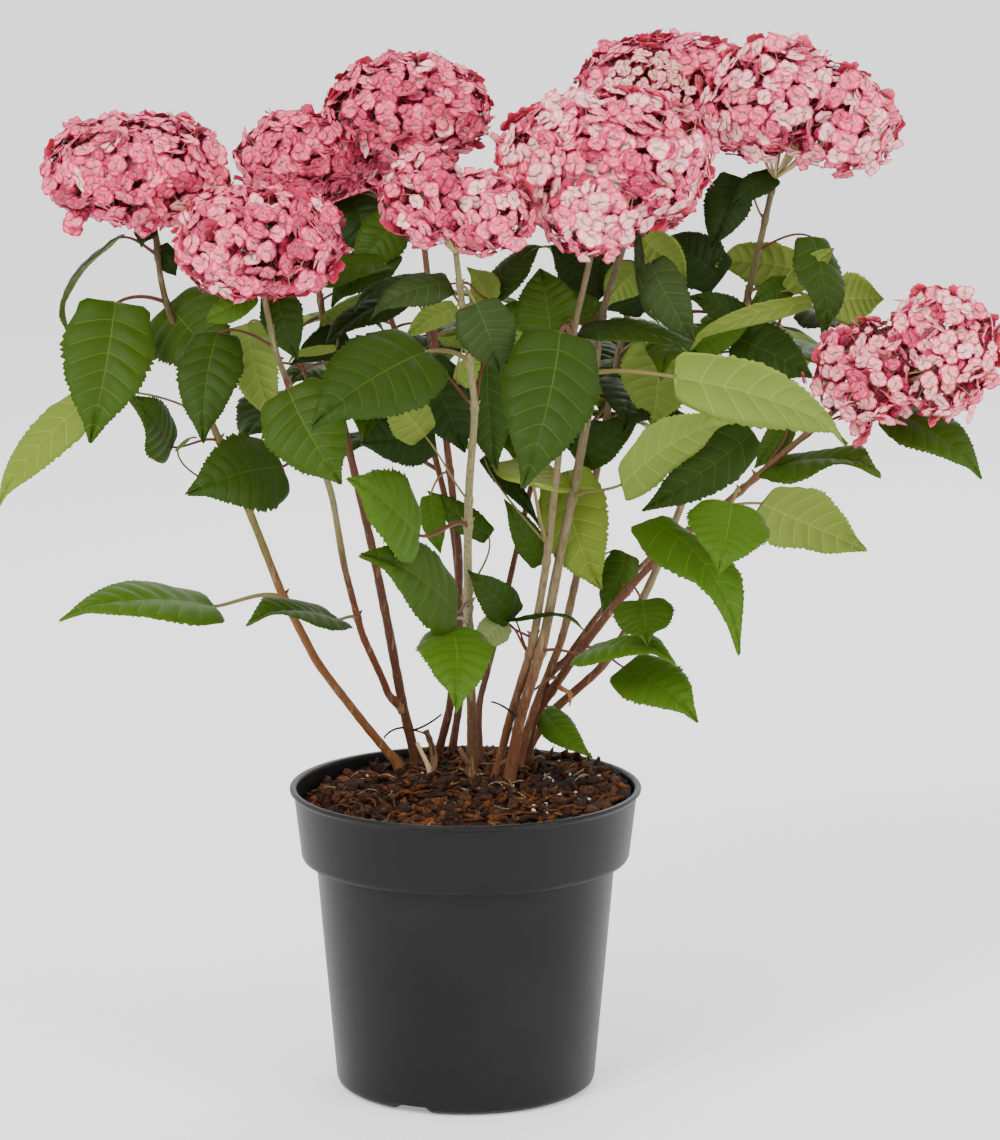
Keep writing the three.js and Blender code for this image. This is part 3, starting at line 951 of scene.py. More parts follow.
@dataclass
class BladeSurface:
    """The veined and toothed surface of a leaf blade.

    Rows of points leave the midrib and sweep forward to the margin, as the side veins do, so
    that every sixth row is a side vein. The margin's teeth lie on the ends of the rows.
    """

    veins: int = 8
    row_steps: tuple[float, ...] = (0.0, 0.05, 0.24, 0.43, 0.62, 0.81)
    teeth: tuple[float, ...] = (0.0, 1.0, 0.0, 1.0, 0.0, 1.0)
    columns: tuple[float, ...] = (0.016, 0.2, 0.4, 0.62, 0.85, 1.0)
    sweep: float = 0.17
    thickness: float = 0.45 * MM
    vein_depth: float = 0.35 * MM
    bite: float = 0.075  # depth of the teeth as a share of the half width
    crown: float = 0.05  # height of the pillows between the veins, as the next two are
    groove: float = 0.02
    ripple: float = 0.09
    fold: tuple[float, float] = (0.05, 0.16)  # least and most rise from midrib to margin
    droop: tuple[float, float] = (0.02, 0.09)  # least and most fall of the tip, in lengths

    def __post_init__(self) -> None:
        """Works out the grid that all blades share."""
        period = (np.arange(self.veins)[:, None] + np.array(self.row_steps)).ravel() / self.veins
        self.t = np.append(period, 1.0)
        self.phase = np.append(np.tile(self.row_steps, self.veins), 0.0)
        self.tooth = np.append(np.tile(self.teeth, self.veins), 0.0)
        half = np.array(self.columns)
        self.s = np.concatenate([-half[::-1], half])
        rows, cols = len(self.t), len(self.s)
        top = grid_quads(rows, cols)
        under = top + rows * cols
        inner = np.arange(rows * cols).reshape(rows, cols)
        below = inner + rows * cols
        edge, lower_edge = rim(inner), rim(below)
        wall = np.stack([edge, np.roll(edge, -1), np.roll(lower_edge, -1), lower_edge], -1)
        self.quads = np.concatenate([top, under[:, FLIP], wall])
        vein_row = (np.arange(rows - 1) % len(self.row_steps) == 0)[:, None]
        column = np.arange(cols - 1)
        midrib = (column == cols // 2 - 1)[None]
        reach = (column > 0) & (column < cols - 2)
        vein = ((vein_row & reach) | midrib).ravel()
        self.zone = np.concatenate([vein * 1, 2 + vein * 1, np.zeros(len(wall), int)])

    def outline(self, q: Array) -> tuple[Array, Array]:
        """Margin of a blade of length 1 and width 2.

        The breadth is sin(pi q^0.62)^0.8, drawn in towards the drip tip, and the two lobes
        beside the stalk reach back by a bell curve near the foot.

        Args:
            q: Shares of the way round one side, from foot to tip.

        Returns:
            Distance along the blade and distance from the midrib.
        """
        breadth = np.sin(math.pi * np.clip(q, 0, 1) ** 0.62) ** 0.8
        breadth = breadth * (1 - 0.38 * smoothstep(0.72, 1.0, q)) + 0.02
        back = 0.075 * np.exp(-(((q - 0.085) / 0.06) ** 2))
        return q - back, breadth

    def points(self, blade: Blade, rng: np.random.Generator) -> Array:
        """All vertices of one blade, upper face first.

        The height above the chord is the arch 4a t(1-t), less a fold along the midrib, plus
        pillows between the veins and two slow waves along the margin. The lower face is the
        upper one less the thickness, with the veins standing out of it.

        Args:
            blade: Where the blade lies.
            rng: Source of chance.

        Returns:
            (v, 3) points.
        """
        t, s = self.t[:, None], self.s[None]
        side = np.abs(s)
        q = t + self.sweep * np.sin(math.pi * t**0.8) * (1 - 0.25 * t)
        reach, breadth = self.outline(np.clip(q, 0, 1))
        bite = self.bite * self.tooth[:, None] * smoothstep(0.05, 0.2, t) * (1 - 0.5 * t)
        edge = smoothstep(0.86, 1.0, side)
        x = t + (reach - t) * side**1.25 + 0.6 * bite * edge * blade.width / blade.length / 2
        y = s * breadth * (1 + bite * edge) * (1 + 0.02 * rng.normal(size=(len(self.t), 1)) * edge)
        pillow = np.sin(math.pi * np.clip((self.phase[:, None] - 0.035) / 0.965, 0, 1))
        crown = self.crown * pillow * np.sin(math.pi * np.clip(side, 0.02, 0.98)) ** 0.7
        groove = self.groove * np.exp(-((side / 0.06) ** 2))
        ripple = self.ripple * rng.normal() * np.sin(math.tau * 1.4 * t + rng.uniform(0, 6)) * side**2
        twist = rng.normal() * 0.06 * s * t
        fold = rng.uniform(*self.fold) * side - 0.17 * side**3 * (0.6 + rng.uniform(0, 0.6))
        half = blade.width / 2
        rise = (fold + crown - groove + ripple + twist) * half + blade.arch * 4 * t * (1 - t)
        rise = rise - rng.uniform(*self.droop) * blade.length * smoothstep(0.7, 1.0, t) ** 2
        sway = rng.normal() * 0.03 * blade.length * t * (1 - t) * 4
        upper = unit(blade.upper - blade.along * (blade.upper @ blade.along))
        spread = (y * half + sway)[..., None] * np.cross(blade.along, upper)
        base = blade.foot + (x * blade.length)[..., None] * blade.along + spread
        top = base + rise[..., None] * upper
        vein = (self.phase[:, None] <= 0.07) & (side < 0.9) | (side < 0.05)
        depth = self.thickness * (1 - 0.8 * edge) + self.vein_depth * vein
        under = top - depth[..., None] * upper
        return np.concatenate([top.reshape(-1, 3), under.reshape(-1, 3)])


@dataclass(frozen=True)
class Sprig:
    """A leaf inside a dense mass, as it grows from a stem.

    Rise is the share of the stem's height where its stalk leaves. The stalk and the blade are
    the ways from the stem to the blade's foot and from there to its tip, in mm.
    """

    stem: str
    rise: float
    stalk: tuple[float, float, float]
    blade: tuple[float, float, float]
    width: float
    facing: Facing
    tint: str
    arch: float

    def grow(self, stems: dict[str, Stem]) -> Blade:
        """The blade in metres.

        Args:
            stems: The stems by name.

        Returns:
            The blade, with the stem and the height that its stalk leaves.
        """
        stem = stems[self.stem]
        level = stem.level(self.rise)
        foot = stem.at(np.array(level))[0] + np.array(self.stalk) * MM
        tip = foot + np.array(self.blade) * MM
        width, arch = self.width * MM, self.arch * MM
        upper = np.array(self.facing.value)
        return Blade(foot, tip, upper, width, arch, self.tint, "sprig", self.stem, level)


LEAF_PLACES = {
    "deep": "arched_far_left",
    "forest": "pointed_left facing_left broad_centre_left broad_centre dark_hanging_right",
    "bright": "lowest_left centre_low_left lowest_centre level_right low_right at_the_rim"
    " heart_far_right hanging_right",
    "pale": "outlying_left pale_centre pale_far_right",
}
HERO_TINTS = {f"leaf_{place}": tint for tint, places in LEAF_PLACES.items() for place in places.split()}

SPRIGS = [
    Sprig("stem_far_left", 0.96, (-2, -14, 6), (-5, -8, -13), 14, Facing.FRONT, "deep", 3),
    Sprig("stem_far_left", 0.96, (3, 8, -10), (10, 2, -20), 14, Facing.FRONT, "deep", 3),
    Sprig("bough_left", 0.98, (-4, 4, -5), (-32, 8, -20), 22, Facing.FRONT_SKY, "bright", 5),
    Sprig("bough_left", 0.98, (1, 12, -4), (-22, 10, -12), 16, Facing.SKY, "deep", 4),
    Sprig("bough_left", 0.97, (7, 22, -3), (14, -6, -44), 26, Facing.FRONT, "forest", 6),
    Sprig("bough_left", 0.88, (-16, 26, 1), (18, -6, -63), 30, Facing.BACK, "mid", 6),
    Sprig("stem_left_inner", 0.82, (44, -31, 27), (-63, -30, -17), 29, Facing.SKY_FRONT, "mid", 9),
    Sprig("stem_left_inner", 0.79, (15, -6, -9), (-35, -24, -16), 22, Facing.FRONT, "deep", 5),
    Sprig("stem_left_inner", 0.79, (9, -38, -14), (-31, -12, -6), 9, Facing.BACK_SKY, "pale", 3),
    Sprig("stem_red", 0.76, (-45, 5, -5), (-29, -10, -14), 22, Facing.BACK_SKY, "mid", 5),
    Sprig("stem_red", 0.72, (-16, -2, 23), (-56, -26, -33), 29, Facing.SKY_FRONT, "deep", 7),
    Sprig("stem_red", 0.86, (-47, 20, 26), (16, -14, -41), 38, Facing.FRONT, "deep", 8),
    Sprig("stem_red", 0.88, (-16, 6, 6), (-29, -16, -33), 32, Facing.FRONT, "mid", 6),
    Sprig("stem_red", 0.84, (-21, 0, 3), (-40, -18, -34), 30, Facing.FRONT_SKY, "forest", 6),
    Sprig("stem_centre", 0.94, (-6, 10, 0), (-50, -12, -19), 23, Facing.FRONT_SKY, "bluish", 7),
    Sprig("stem_centre", 0.90, (-21, 32, 14), (-49, 4, -19), 23, Facing.SKY_FRONT, "deep", 7),
    Sprig("stem_red", 0.55, (-7, -10, 3), (-48, -10, -5), 38, Facing.FRONT, "deep", 5),
    Sprig("stem_centre", 0.53, (-28, -36, 49), (-24, -6, 24), 29, Facing.BACK, "pale", 5),
    Sprig("stem_far_left", 0.49, (-42, -35, 41), (13, -6, 10), 10, Facing.SKY, "deep", 2),
    Sprig("stem_centre", 0.92, (9, -16, -2), (15, -2, -43), 36, Facing.FRONT, "bluish", 6),
    Sprig("stem_centre", 0.92, (-3, 18, -9), (-33, 6, -21), 17, Facing.BACK, "pale", 4),
    Sprig("stem_centre", 0.91, (17, 27, -5), (-13, 20, 20), 25, Facing.BACK, "mid", 4),
    Sprig("stem_centre", 0.92, (19, 38, -6), (36, 20, 33), 26, Facing.SKY_FRONT, "forest", 6),
    Sprig("stem_mid", 0.87, (-15, 9, -9), (-7, 14, 42), 39, Facing.FRONT, "mid", 6),
    Sprig("stem_mid", 0.87, (-13, 22, 0), (-39, 12, 3), 22, Facing.FRONT, "bright", 4),
    Sprig("stem_mid", 0.87, (-20, 42, -7), (-30, 6, -8), 19, Facing.BACK, "mid", 4),
    Sprig("stem_tall", 0.84, (3, 32, 13), (-36, 10, 29), 36, Facing.FRONT, "deep", 5),
    Sprig("stem_tall", 0.83, (0, 18, -2), (-22, 6, 22), 19, Facing.FRONT, "mid", 4),
    Sprig("stem_tall", 0.83, (-13, -8, -1), (74, -18, -12), 29, Facing.SKY_FRONT, "forest", 9),
    Sprig("stem_tall", 0.94, (15, 22, -6), (-23, 14, -26), 26, Facing.BACK, "mid", 5),
    Sprig("stem_tall", 0.98, (12, 6, 1), (28, -2, -27), 27, Facing.BACK, "pale", 5),
    Sprig("stem_tall", 0.98, (16, -16, -11), (28, -10, -49), 29, Facing.FRONT, "bluish", 7),
    Sprig("stem_tall", 0.98, (8, -12, 5), (9, -10, -55), 14, Facing.LEFT, "bluish", 3),
    Sprig("stem_tall_back", 0.82, (52, -52, -10), (-38, 10, 27), 35, Facing.FRONT, "deep", 7),
    Sprig("stem_tall_back", 0.82, (6, -32, -29), (-33, -4, 26), 32, Facing.FRONT, "deep", 5),
    Sprig("stem_tall_back", 0.76, (-21, -18, 38), (-26, -4, -33), 32, Facing.FRONT, "forest", 5),
    Sprig("stem_centre", 0.71, (-33, 28, 26), (27, -8, -58), 38, Facing.FRONT, "deep", 6),
    Sprig("stem_centre", 0.72, (8, 32, 23), (6, -4, -71), 30, Facing.FRONT, "forest", 5),
    Sprig("stem_centre", 0.83, (-5, 41, -31), (14, 4, 18), 16, Facing.BACK, "mid", 3),
    Sprig("stem_red", 0.55, (-6, -10, 24), (23, -6, -31), 16, Facing.BACK, "mid", 3),
    Sprig("stem_mid", 0.45, (-10, -16, 44), (-2, 66, 12), 54, Facing.BACK, "pale", -4),
    Sprig("stem_mid", 0.45, (-42, 36, 52), (36, -24, -41), 12, Facing.FRONT, "deep", 3),
    Sprig("stem_tall_back", 0.51, (-16, -29, -3), (42, -6, 32), 25, Facing.FRONT, "forest", 4),
    Sprig("stem_red", 0.49, (-13, -3, -15), (7, -6, -38), 17, Facing.FRONT, "bright", 3),
    Sprig("stem_centre", 0.35, (14, 21, 33), (-41, 10, 29), 18, Facing.FRONT, "mid", 5),
    Sprig("stem_mid", 0.24, (-10, 3, 24), (-30, -14, 34), 25, Facing.FRONT, "forest", 6),
    Sprig("stem_mid", 0.23, (-15, 0, 25), (-18, -8, -17), 22, Facing.BACK, "bluish", 3),
    Sprig("stem_mid", 0.27, (-17, -1, 12), (51, -22, 0), 14, Facing.SKY, "deep", 7),
    Sprig("stem_mid", 0.42, (-3, 23, -6), (-24, -8, 44), 19, Facing.FRONT, "mid", 4),
    Sprig("stem_tall_back", 0.32, (31, -17, 15), (-16, -10, -39), 25, Facing.FRONT, "mid", 4),
    Sprig("stem_high_right", 0.93, (-18, 4, 28), (-17, -12, -45), 29, Facing.FRONT, "deep", 5),
    Sprig("stem_high_right", 0.98, (2, 0, 10), (-29, -10, -19), 18, Facing.FRONT_SKY, "deep", 4),
    Sprig("stem_high_right", 0.81, (32, 16, 13), (-54, -4, 5), 32, Facing.BACK, "pale", 6),
    Sprig("stem_high_right", 0.81, (24, -34, 6), (28, -14, 30), 17, Facing.BACK, "pale", 4),
    Sprig("stem_high_right", 0.81, (38, -40, -1), (-82, -28, -25), 14, Facing.BACK, "pale", 5),
    Sprig("stem_high_right", 0.81, (55, 18, -7), (34, -2, 1), 36, Facing.BACK, "pale", 6),
    Sprig("stem_high_right", 0.81, (26, -24, 8), (-26, -6, -11), 18, Facing.FRONT, "mid", 3),
    Sprig("stem_high_right", 0.80, (1, -12, -15), (-41, -6, 19), 23, Facing.FRONT_SKY, "forest", 6),
    Sprig("stem_high_right", 0.71, (1, -14, 11), (49, -14, -24), 35, Facing.FRONT, "forest", 6),
    Sprig("stem_high_right", 0.72, (-28, -24, 4), (37, -6, 16), 21, Facing.FRONT, "bright", 4),
    Sprig("stem_tall_back", 0.66, (25, -52, 15), (-5, -10, -52), 48, Facing.BACK, "mid", 6),
    Sprig("stem_dark_right", 0.83, (14, 21, 23), (-22, -8, -26), 18, Facing.FRONT, "mid", 3),
    Sprig("stem_high_right", 0.57, (28, -28, 5), (-72, -24, -47), 34, Facing.FRONT, "forest", 7),
    Sprig("stem_dark_right", 0.20, (5, -8, 6), (8, -4, -13), 9, Facing.RIGHT, "dry", 3),
]


TWIG_TINTS = ("deep", "forest", "forest", "mid", "bright")
TWIG_BREADTH = 0.66
TWIG_ARCH = 7 * MM
TWIG_POINTS = 12


@dataclass(frozen=True)
class Twig:
    """A leafy side shoot: the stem and rise that it leaves, and its way to its tip in mm."""

    stem: str
    rise: float
    way: tuple[float, float, float]
    pairs: int = 3

    def course(self, stems: dict[str, Stem]) -> Array:
        """The shoot's curve, which leaves outwards and turns up.

        Args:
            stems: The stems by name.

        Returns:
            (TWIG_POINTS, 3) points.
        """
        stem = stems[self.stem]
        start = stem.at(np.array(stem.level(self.rise)))[0]
        way = np.array(self.way) * MM
        flat = way * (1, 1, 0.4)
        bends = start + 0.4 * flat, start + 0.8 * flat + 0.1 * way
        return bezier([start, *bends, start + way], TWIG_POINTS)

    def leaves(self, stems: dict[str, Stem], rng: np.random.Generator) -> list[Blade]:
        """Opposite pairs of leaves, each pair a quarter turn from the last, with a tip leaf.

        The shoot's points are divided among the pairs. A leaf's stalk leaves square to the
        shoot, and its blade goes on outwards and hangs down by a seeded angle.

        Args:
            stems: The stems by name.
            rng: Source of chance.

        Returns:
            The blades.
        """
        course = self.course(stems)
        blades = []
        turn = rng.uniform(0, math.pi)
        for pair in range(self.pairs):
            node = course[round((0.45 + 0.55 * pair / max(self.pairs - 1, 1)) * (TWIG_POINTS - 1))]
            for side in (0.0, math.pi):
                bearing = turn + side + 0.3 * rng.normal()
                out = np.array([math.cos(bearing), math.sin(bearing), 0.0])
                foot = node + (out * rng.uniform(16, 26) + UP * rng.uniform(2, 9)) * MM
                drop = rng.uniform(0.1, 0.75)
                length = rng.uniform(58, 84) * (1 - 0.12 * pair) * MM
                tip = foot + unit(out - drop * UP) * length
                upper = unit(UP + 0.6 * drop * out + 0.15 * rng.normal(size=3))
                tint = TWIG_TINTS[rng.integers(0, len(TWIG_TINTS))]
                width, arch = TWIG_BREADTH * length, TWIG_ARCH
                blades.append(Blade(foot, tip, upper, width, arch, tint, "twig", start=node))
            turn += math.pi / 2 + 0.3 * rng.normal()
        return blades


TWIGS = [
    Twig("stem_back_left", 0.55, (-52, 28, 62)),
    Twig("stem_back_left", 0.62, (44, 34, 46)),
    Twig("stem_back_left", 0.74, (-8, 46, 22), 2),
    Twig("stem_left_inner", 0.60, (-34, 50, 58)),
    Twig("stem_slim", 0.56, (58, 26, 66)),
    Twig("stem_slim", 0.66, (-26, 48, 30)),
    Twig("stem_slim", 0.76, (28, 40, 10), 2),
    Twig("stem_tall_back", 0.56, (50, 52, 40)),
    Twig("stem_high_right", 0.66, (40, 62, 34)),
    Twig("stem_high_right", 0.72, (-34, 66, 10), 2),
    Twig("stem_red", 0.66, (-10, 52, 40), 2),
]


@dataclass
class Foliage:
    """All leaves and their stalks."""

    stems: dict[str, Stem]
    seed: int = 11
    stalk_drop: float = 14 * MM
    stalk_radius: float = 1.2 * MM
    stalk_points: int = 14
    stalk_sides: int = 6
    usual_width: float = 52 * MM  # the breadth of a blade whose stalk has just that radius
    pair_gap: float = 9 * MM  # leaves nearer than this on a stem share one joint
    shoot_radii: tuple[float, float] = (1.7 * MM, 1.1 * MM)

    def __post_init__(self) -> None:
        """Finds every blade."""
        self.surface = BladeSurface()
        heroes = [Blade.from_cad(name) for name in sorted(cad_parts) if name.startswith("leaf_")]
        for blade in heroes:
            blade.tint = HERO_TINTS.get(blade.name, "mid")
        self.blades = heroes + [sprig.grow(self.stems) for sprig in SPRIGS]
        rng = np.random.default_rng(self.seed)
        for twig in TWIGS:
            self.blades += twig.leaves(self.stems, rng)

    def stalk(self, blade: Blade) -> Array:
        """The stalk's path from its stem to the blade's foot.

        A cubic curve that leaves the stem outwards and up and arrives half along the blade.

        Args:
            blade: The blade.

        Returns:
            (n, 3) path.
        """
        start = self.joint(blade) if blade.start is None else blade.start
        gap = np.linalg.norm(blade.foot - start)
        leave = unit(unit((blade.foot - start) * (1, 1, 0.3)) + 0.5 * UP)
        foot = blade.foot + 0.01 * blade.length * blade.along
        arrive = foot - unit(blade.along + 1.2 * unit(foot - start)) * 0.34 * gap
        return bezier([start, start + leave * 0.36 * gap, arrive, foot], self.stalk_points)

    def joint(self, blade: Blade) -> Array:
        """The joint on a stem that carries a blade, which is a new one unless one is near.

        Args:
            blade: The blade.

        Returns:
            The joint's place.
        """
        if blade.stem:
            stem, height = self.stems[blade.stem], blade.level
        else:
            choices = [(stem.closest(blade.foot, self.stalk_drop), stem) for stem in self.stems.values()]
            (_, height), stem = min(choices, key=lambda choice: choice[0][0])
        nearby = [joint for joint in stem.joints if abs(joint - height) < self.pair_gap]
        if nearby:
            height = nearby[0]
        else:
            stem.joints.append(height)
        return stem.at(np.array(height))[0]

    def build(self) -> None:
        """Makes two leaf pieces, which stand for every leaf and mass node, and the stalks."""
        rng = np.random.default_rng(self.seed)
        left, right, stalks = MeshStore(), MeshStore(), MeshStore()
        left_nodes = {"mass_centre_top", "mass_centre_inner", "mass_back_left"}
        right_nodes = {"mass_right_top", "mass_back_right"}
        paths, slots = [], []
        middle = np.mean([blade.foot[0] for blade in self.blades])
        for blade in self.blades:
            store, nodes = (right, right_nodes) if blade.foot[0] > middle else (left, left_nodes)
            if blade.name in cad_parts:
                nodes.add(blade.name)
            zones = self.surface.zone + 4 * TINT_NUMBER[blade.tint]
            store.add(self.surface.points(blade, rng), self.surface.quads, zones)
            paths.append(self.stalk(blade))
            slots.append(int(rng.random() < 0.6) if blade.tint != "pale" else 0)
        taper = np.linspace(1.25, 0.85, self.stalk_points)
        stout = np.clip([blade.width / self.usual_width for blade in self.blades], 0.62, 1.1)
        widths = self.stalk_radius * np.outer(stout * rng.uniform(0.9, 1.1, len(paths)), taper)
        verts, quads = rings(np.array(paths), widths, self.stalk_sides)
        stalks.add(verts, quads, np.repeat(slots, len(quads) // len(paths)))
        shoots = np.array([twig.course(self.stems) for twig in TWIGS])
        girth = np.linspace(*self.shoot_radii, shoots.shape[1])
        verts, quads = rings(shoots, np.repeat(girth[None], len(shoots), 0), 8)
        stalks.add(verts, quads, 2)
        finishes = make_all(finish for tint in TINTS for finish in tint.finishes())
        left.publish("leaves_left", "leaf", finishes, sorted(left_nodes))
        right.publish("leaves_right", "leaf", finishes, sorted(right_nodes))
        stalk_finishes = [
            PlainFinish("stalk_green", (0.155, 0.125, 0.042), 0.5, glow=0.05),
            PlainFinish("stalk_red", (0.105, 0.032, 0.017), 0.5, glow=0.05),
            PlainFinish("shoot_brown", (0.120, 0.060, 0.025), 0.5),
        ]
        stalks.publish("leaf_stalks", "leaf", make_all(stalk_finishes))


# ---------------------------------------------------------------- blooms


@dataclass(frozen=True)
class PetalTint:
    """The colours of a floret: heart, middle and edge of its petals, and their backs."""

    name: str
    heart: Colour
    middle: Colour
    edge: Colour
    back: Colour

    def finishes(self) -> list[PlainFinish]:
        """The four finishes, in slot order."""
        zones = {"heart": self.heart, "middle": self.middle, "edge": self.edge, "back": self.back}
        name = f"petal_{self.name}"
        return [PlainFinish(f"{name}_{zone}", colour, 0.6, 0.15, 0.15) for zone, colour in zones.items()]


PETAL_TINTS = [
    PetalTint(name, *colours)
    for name, colours in {
        "blush": ((0.97, 0.24, 0.32), (0.93, 0.118, 0.225), (0.74, 0.030, 0.115), (0.54, 0.014, 0.07)),
        "pink": ((0.92, 0.15, 0.245), (0.83, 0.061, 0.165), (0.60, 0.015, 0.082), (0.44, 0.008, 0.05)),
        "rose": ((0.79, 0.082, 0.175), (0.61, 0.028, 0.11), (0.42, 0.008, 0.052), (0.33, 0.005, 0.036)),
        "cream": ((1.00, 0.56, 0.50), (1.00, 0.38, 0.41), (0.92, 0.115, 0.235), (0.67, 0.062, 0.14)),
        "coral": ((1.00, 0.42, 0.40), (0.99, 0.235, 0.30), (0.86, 0.050, 0.135), (0.61, 0.024, 0.075)),
        "crimson": ((0.54, 0.05, 0.11), (0.42, 0.02, 0.07), (0.32, 0.008, 0.038), (0.24, 0.004, 0.024)),
        "buff": ((0.86, 0.56, 0.37), (0.84, 0.42, 0.33), (0.68, 0.18, 0.19), (0.54, 0.12, 0.13)),
    }.items()
]
PETAL_NUMBER = {tint.name: number for number, tint in enumerate(PETAL_TINTS)}
BUTTON = 4 * len(PETAL_TINTS)
GREEN_STALK = BUTTON + 1
BLOOM_SEED = 40


@dataclass
class FloretShape:
    """Templates of one floret: four rounded sepals round a button, each a closed thin sheet.

    Each template has its own uneven set of sepals.
    """

    rows: int
    columns: int
    variants: int
    seed: int
    button: bool = True
    thickness: float = 0.035

    def __post_init__(self) -> None:
        """Works out the templates for a floret of radius one."""
        rng = np.random.default_rng(self.seed)
        sheet, zone = self.sheet_quads()
        florets = [[self.sepal(number, rng) for number in range(4)] for _ in range(self.variants)]
        size = len(florets[0][0])
        self.quads = copies(sheet, size, 4)
        self.zones = np.tile(zone, 4)
        self.verts = np.array([np.concatenate(sepals) for sepals in florets])
        if self.button:
            path = np.array([[[0, 0, 0.0], [0, 0, 0.07], [0, 0, 0.13]]], float)
            ball, skin = rings(path, np.array([[0.05, 0.09, 0.04]]), 4)
            self.quads = np.concatenate([self.quads, skin + 4 * size])
            self.zones = np.concatenate([self.zones, np.full(len(skin), -1)])
            self.verts = np.concatenate([self.verts, np.repeat(ball[None], self.variants, 0)], 1)

    def sheet_quads(self) -> tuple[Array, Array]:
        """Quads of one sepal and the zone that each belongs to."""
        rows, cols = self.rows, self.columns
        top = grid_quads(rows, cols)
        inner = np.arange(rows * cols).reshape(rows, cols)
        under = np.full(rows * cols, -1)
        under[rim(inner)] = rim(inner)
        middle = inner[1:-1, 1:-1].ravel()
        under[middle] = rows * cols + np.arange(len(middle))
        row, column = np.divmod(np.arange(len(top)), cols - 1)
        edge = (row == rows - 2) | (((column == 0) | (column == cols - 2)) & (row == rows - 3))
        zone = np.where(edge, 2, np.where(row == 0, 0, 1))
        if cols > 3:
            zone = np.where((row == rows - 3) & ~edge, 0, zone)
        return np.concatenate([top, under[top][:, FLIP]]), np.concatenate([zone, np.full(len(top), 3)])

    def sepal(self, number: int, rng: np.random.Generator) -> Array:
        """Points of one sepal, upper face and then the inside of the lower one.

        Along the sepal v runs from 0 to 1 and across it u from -1 to 1. The half breadth is a
        seeded share of sin(pi (0.08 + 0.79 v))^0.72, the end is rounded by 0.2 u^2 v^3, and the
        height is a seeded cup times v^2 less a seeded fold times u^2 v.

        Args:
            number: Which of the four sepals.
            rng: Source of chance.

        Returns:
            (p, 3) points.
        """
        v, u = np.linspace(0, 1, self.rows)[:, None] ** 0.85, np.linspace(-1, 1, self.columns)[None]
        size = rng.uniform(0.78, 1.08)
        breadth = rng.uniform(0.56, 0.70) * np.sin(math.pi * (0.08 + 0.79 * v)) ** 0.72
        reach = 0.05 + 0.95 * v - 0.2 * u**2 * v**3
        height = rng.uniform(-0.16, 0.26) * v**2 - rng.uniform(-0.12, 0.2) * u**2 * v + 0.07 * (number % 2)
        turn = number * math.pi / 2 + 0.14 * rng.normal()
        tilt = 0.12 * rng.normal() * u * breadth
        x = size * (reach * math.cos(turn) - u * breadth * math.sin(turn))
        y = size * (reach * math.sin(turn) + u * breadth * math.cos(turn))
        top = np.stack([x, y, 0.05 + height + tilt + 0 * x], -1)
        under = top[1:-1, 1:-1] - (0, 0, self.thickness)
        return np.concatenate([top.reshape(-1, 3), under.reshape(-1, 3)])


@dataclass(frozen=True)
class BloomLook:
    """How one mophead is made: its tints with their shares, and how open it is below."""

    tints: dict[str, float]
    spacing: float = 8.2
    size: tuple[float, float] = (6.6, 9.2)
    underside: float = -0.85
    loose: float = 0.64
    hang: float = 5.0
    faded: tuple[float, float, float] | None = None  # middle of a faded patch, as shares of the box
    stray: tuple[tuple[float, float, float], ...] = ()  # clusters that hang free, as shares of the box


@dataclass
class Florets:
    """Places, directions, radii and tints of a set of florets."""

    centres: Array
    facing: Array
    radii: Array
    tints: Array


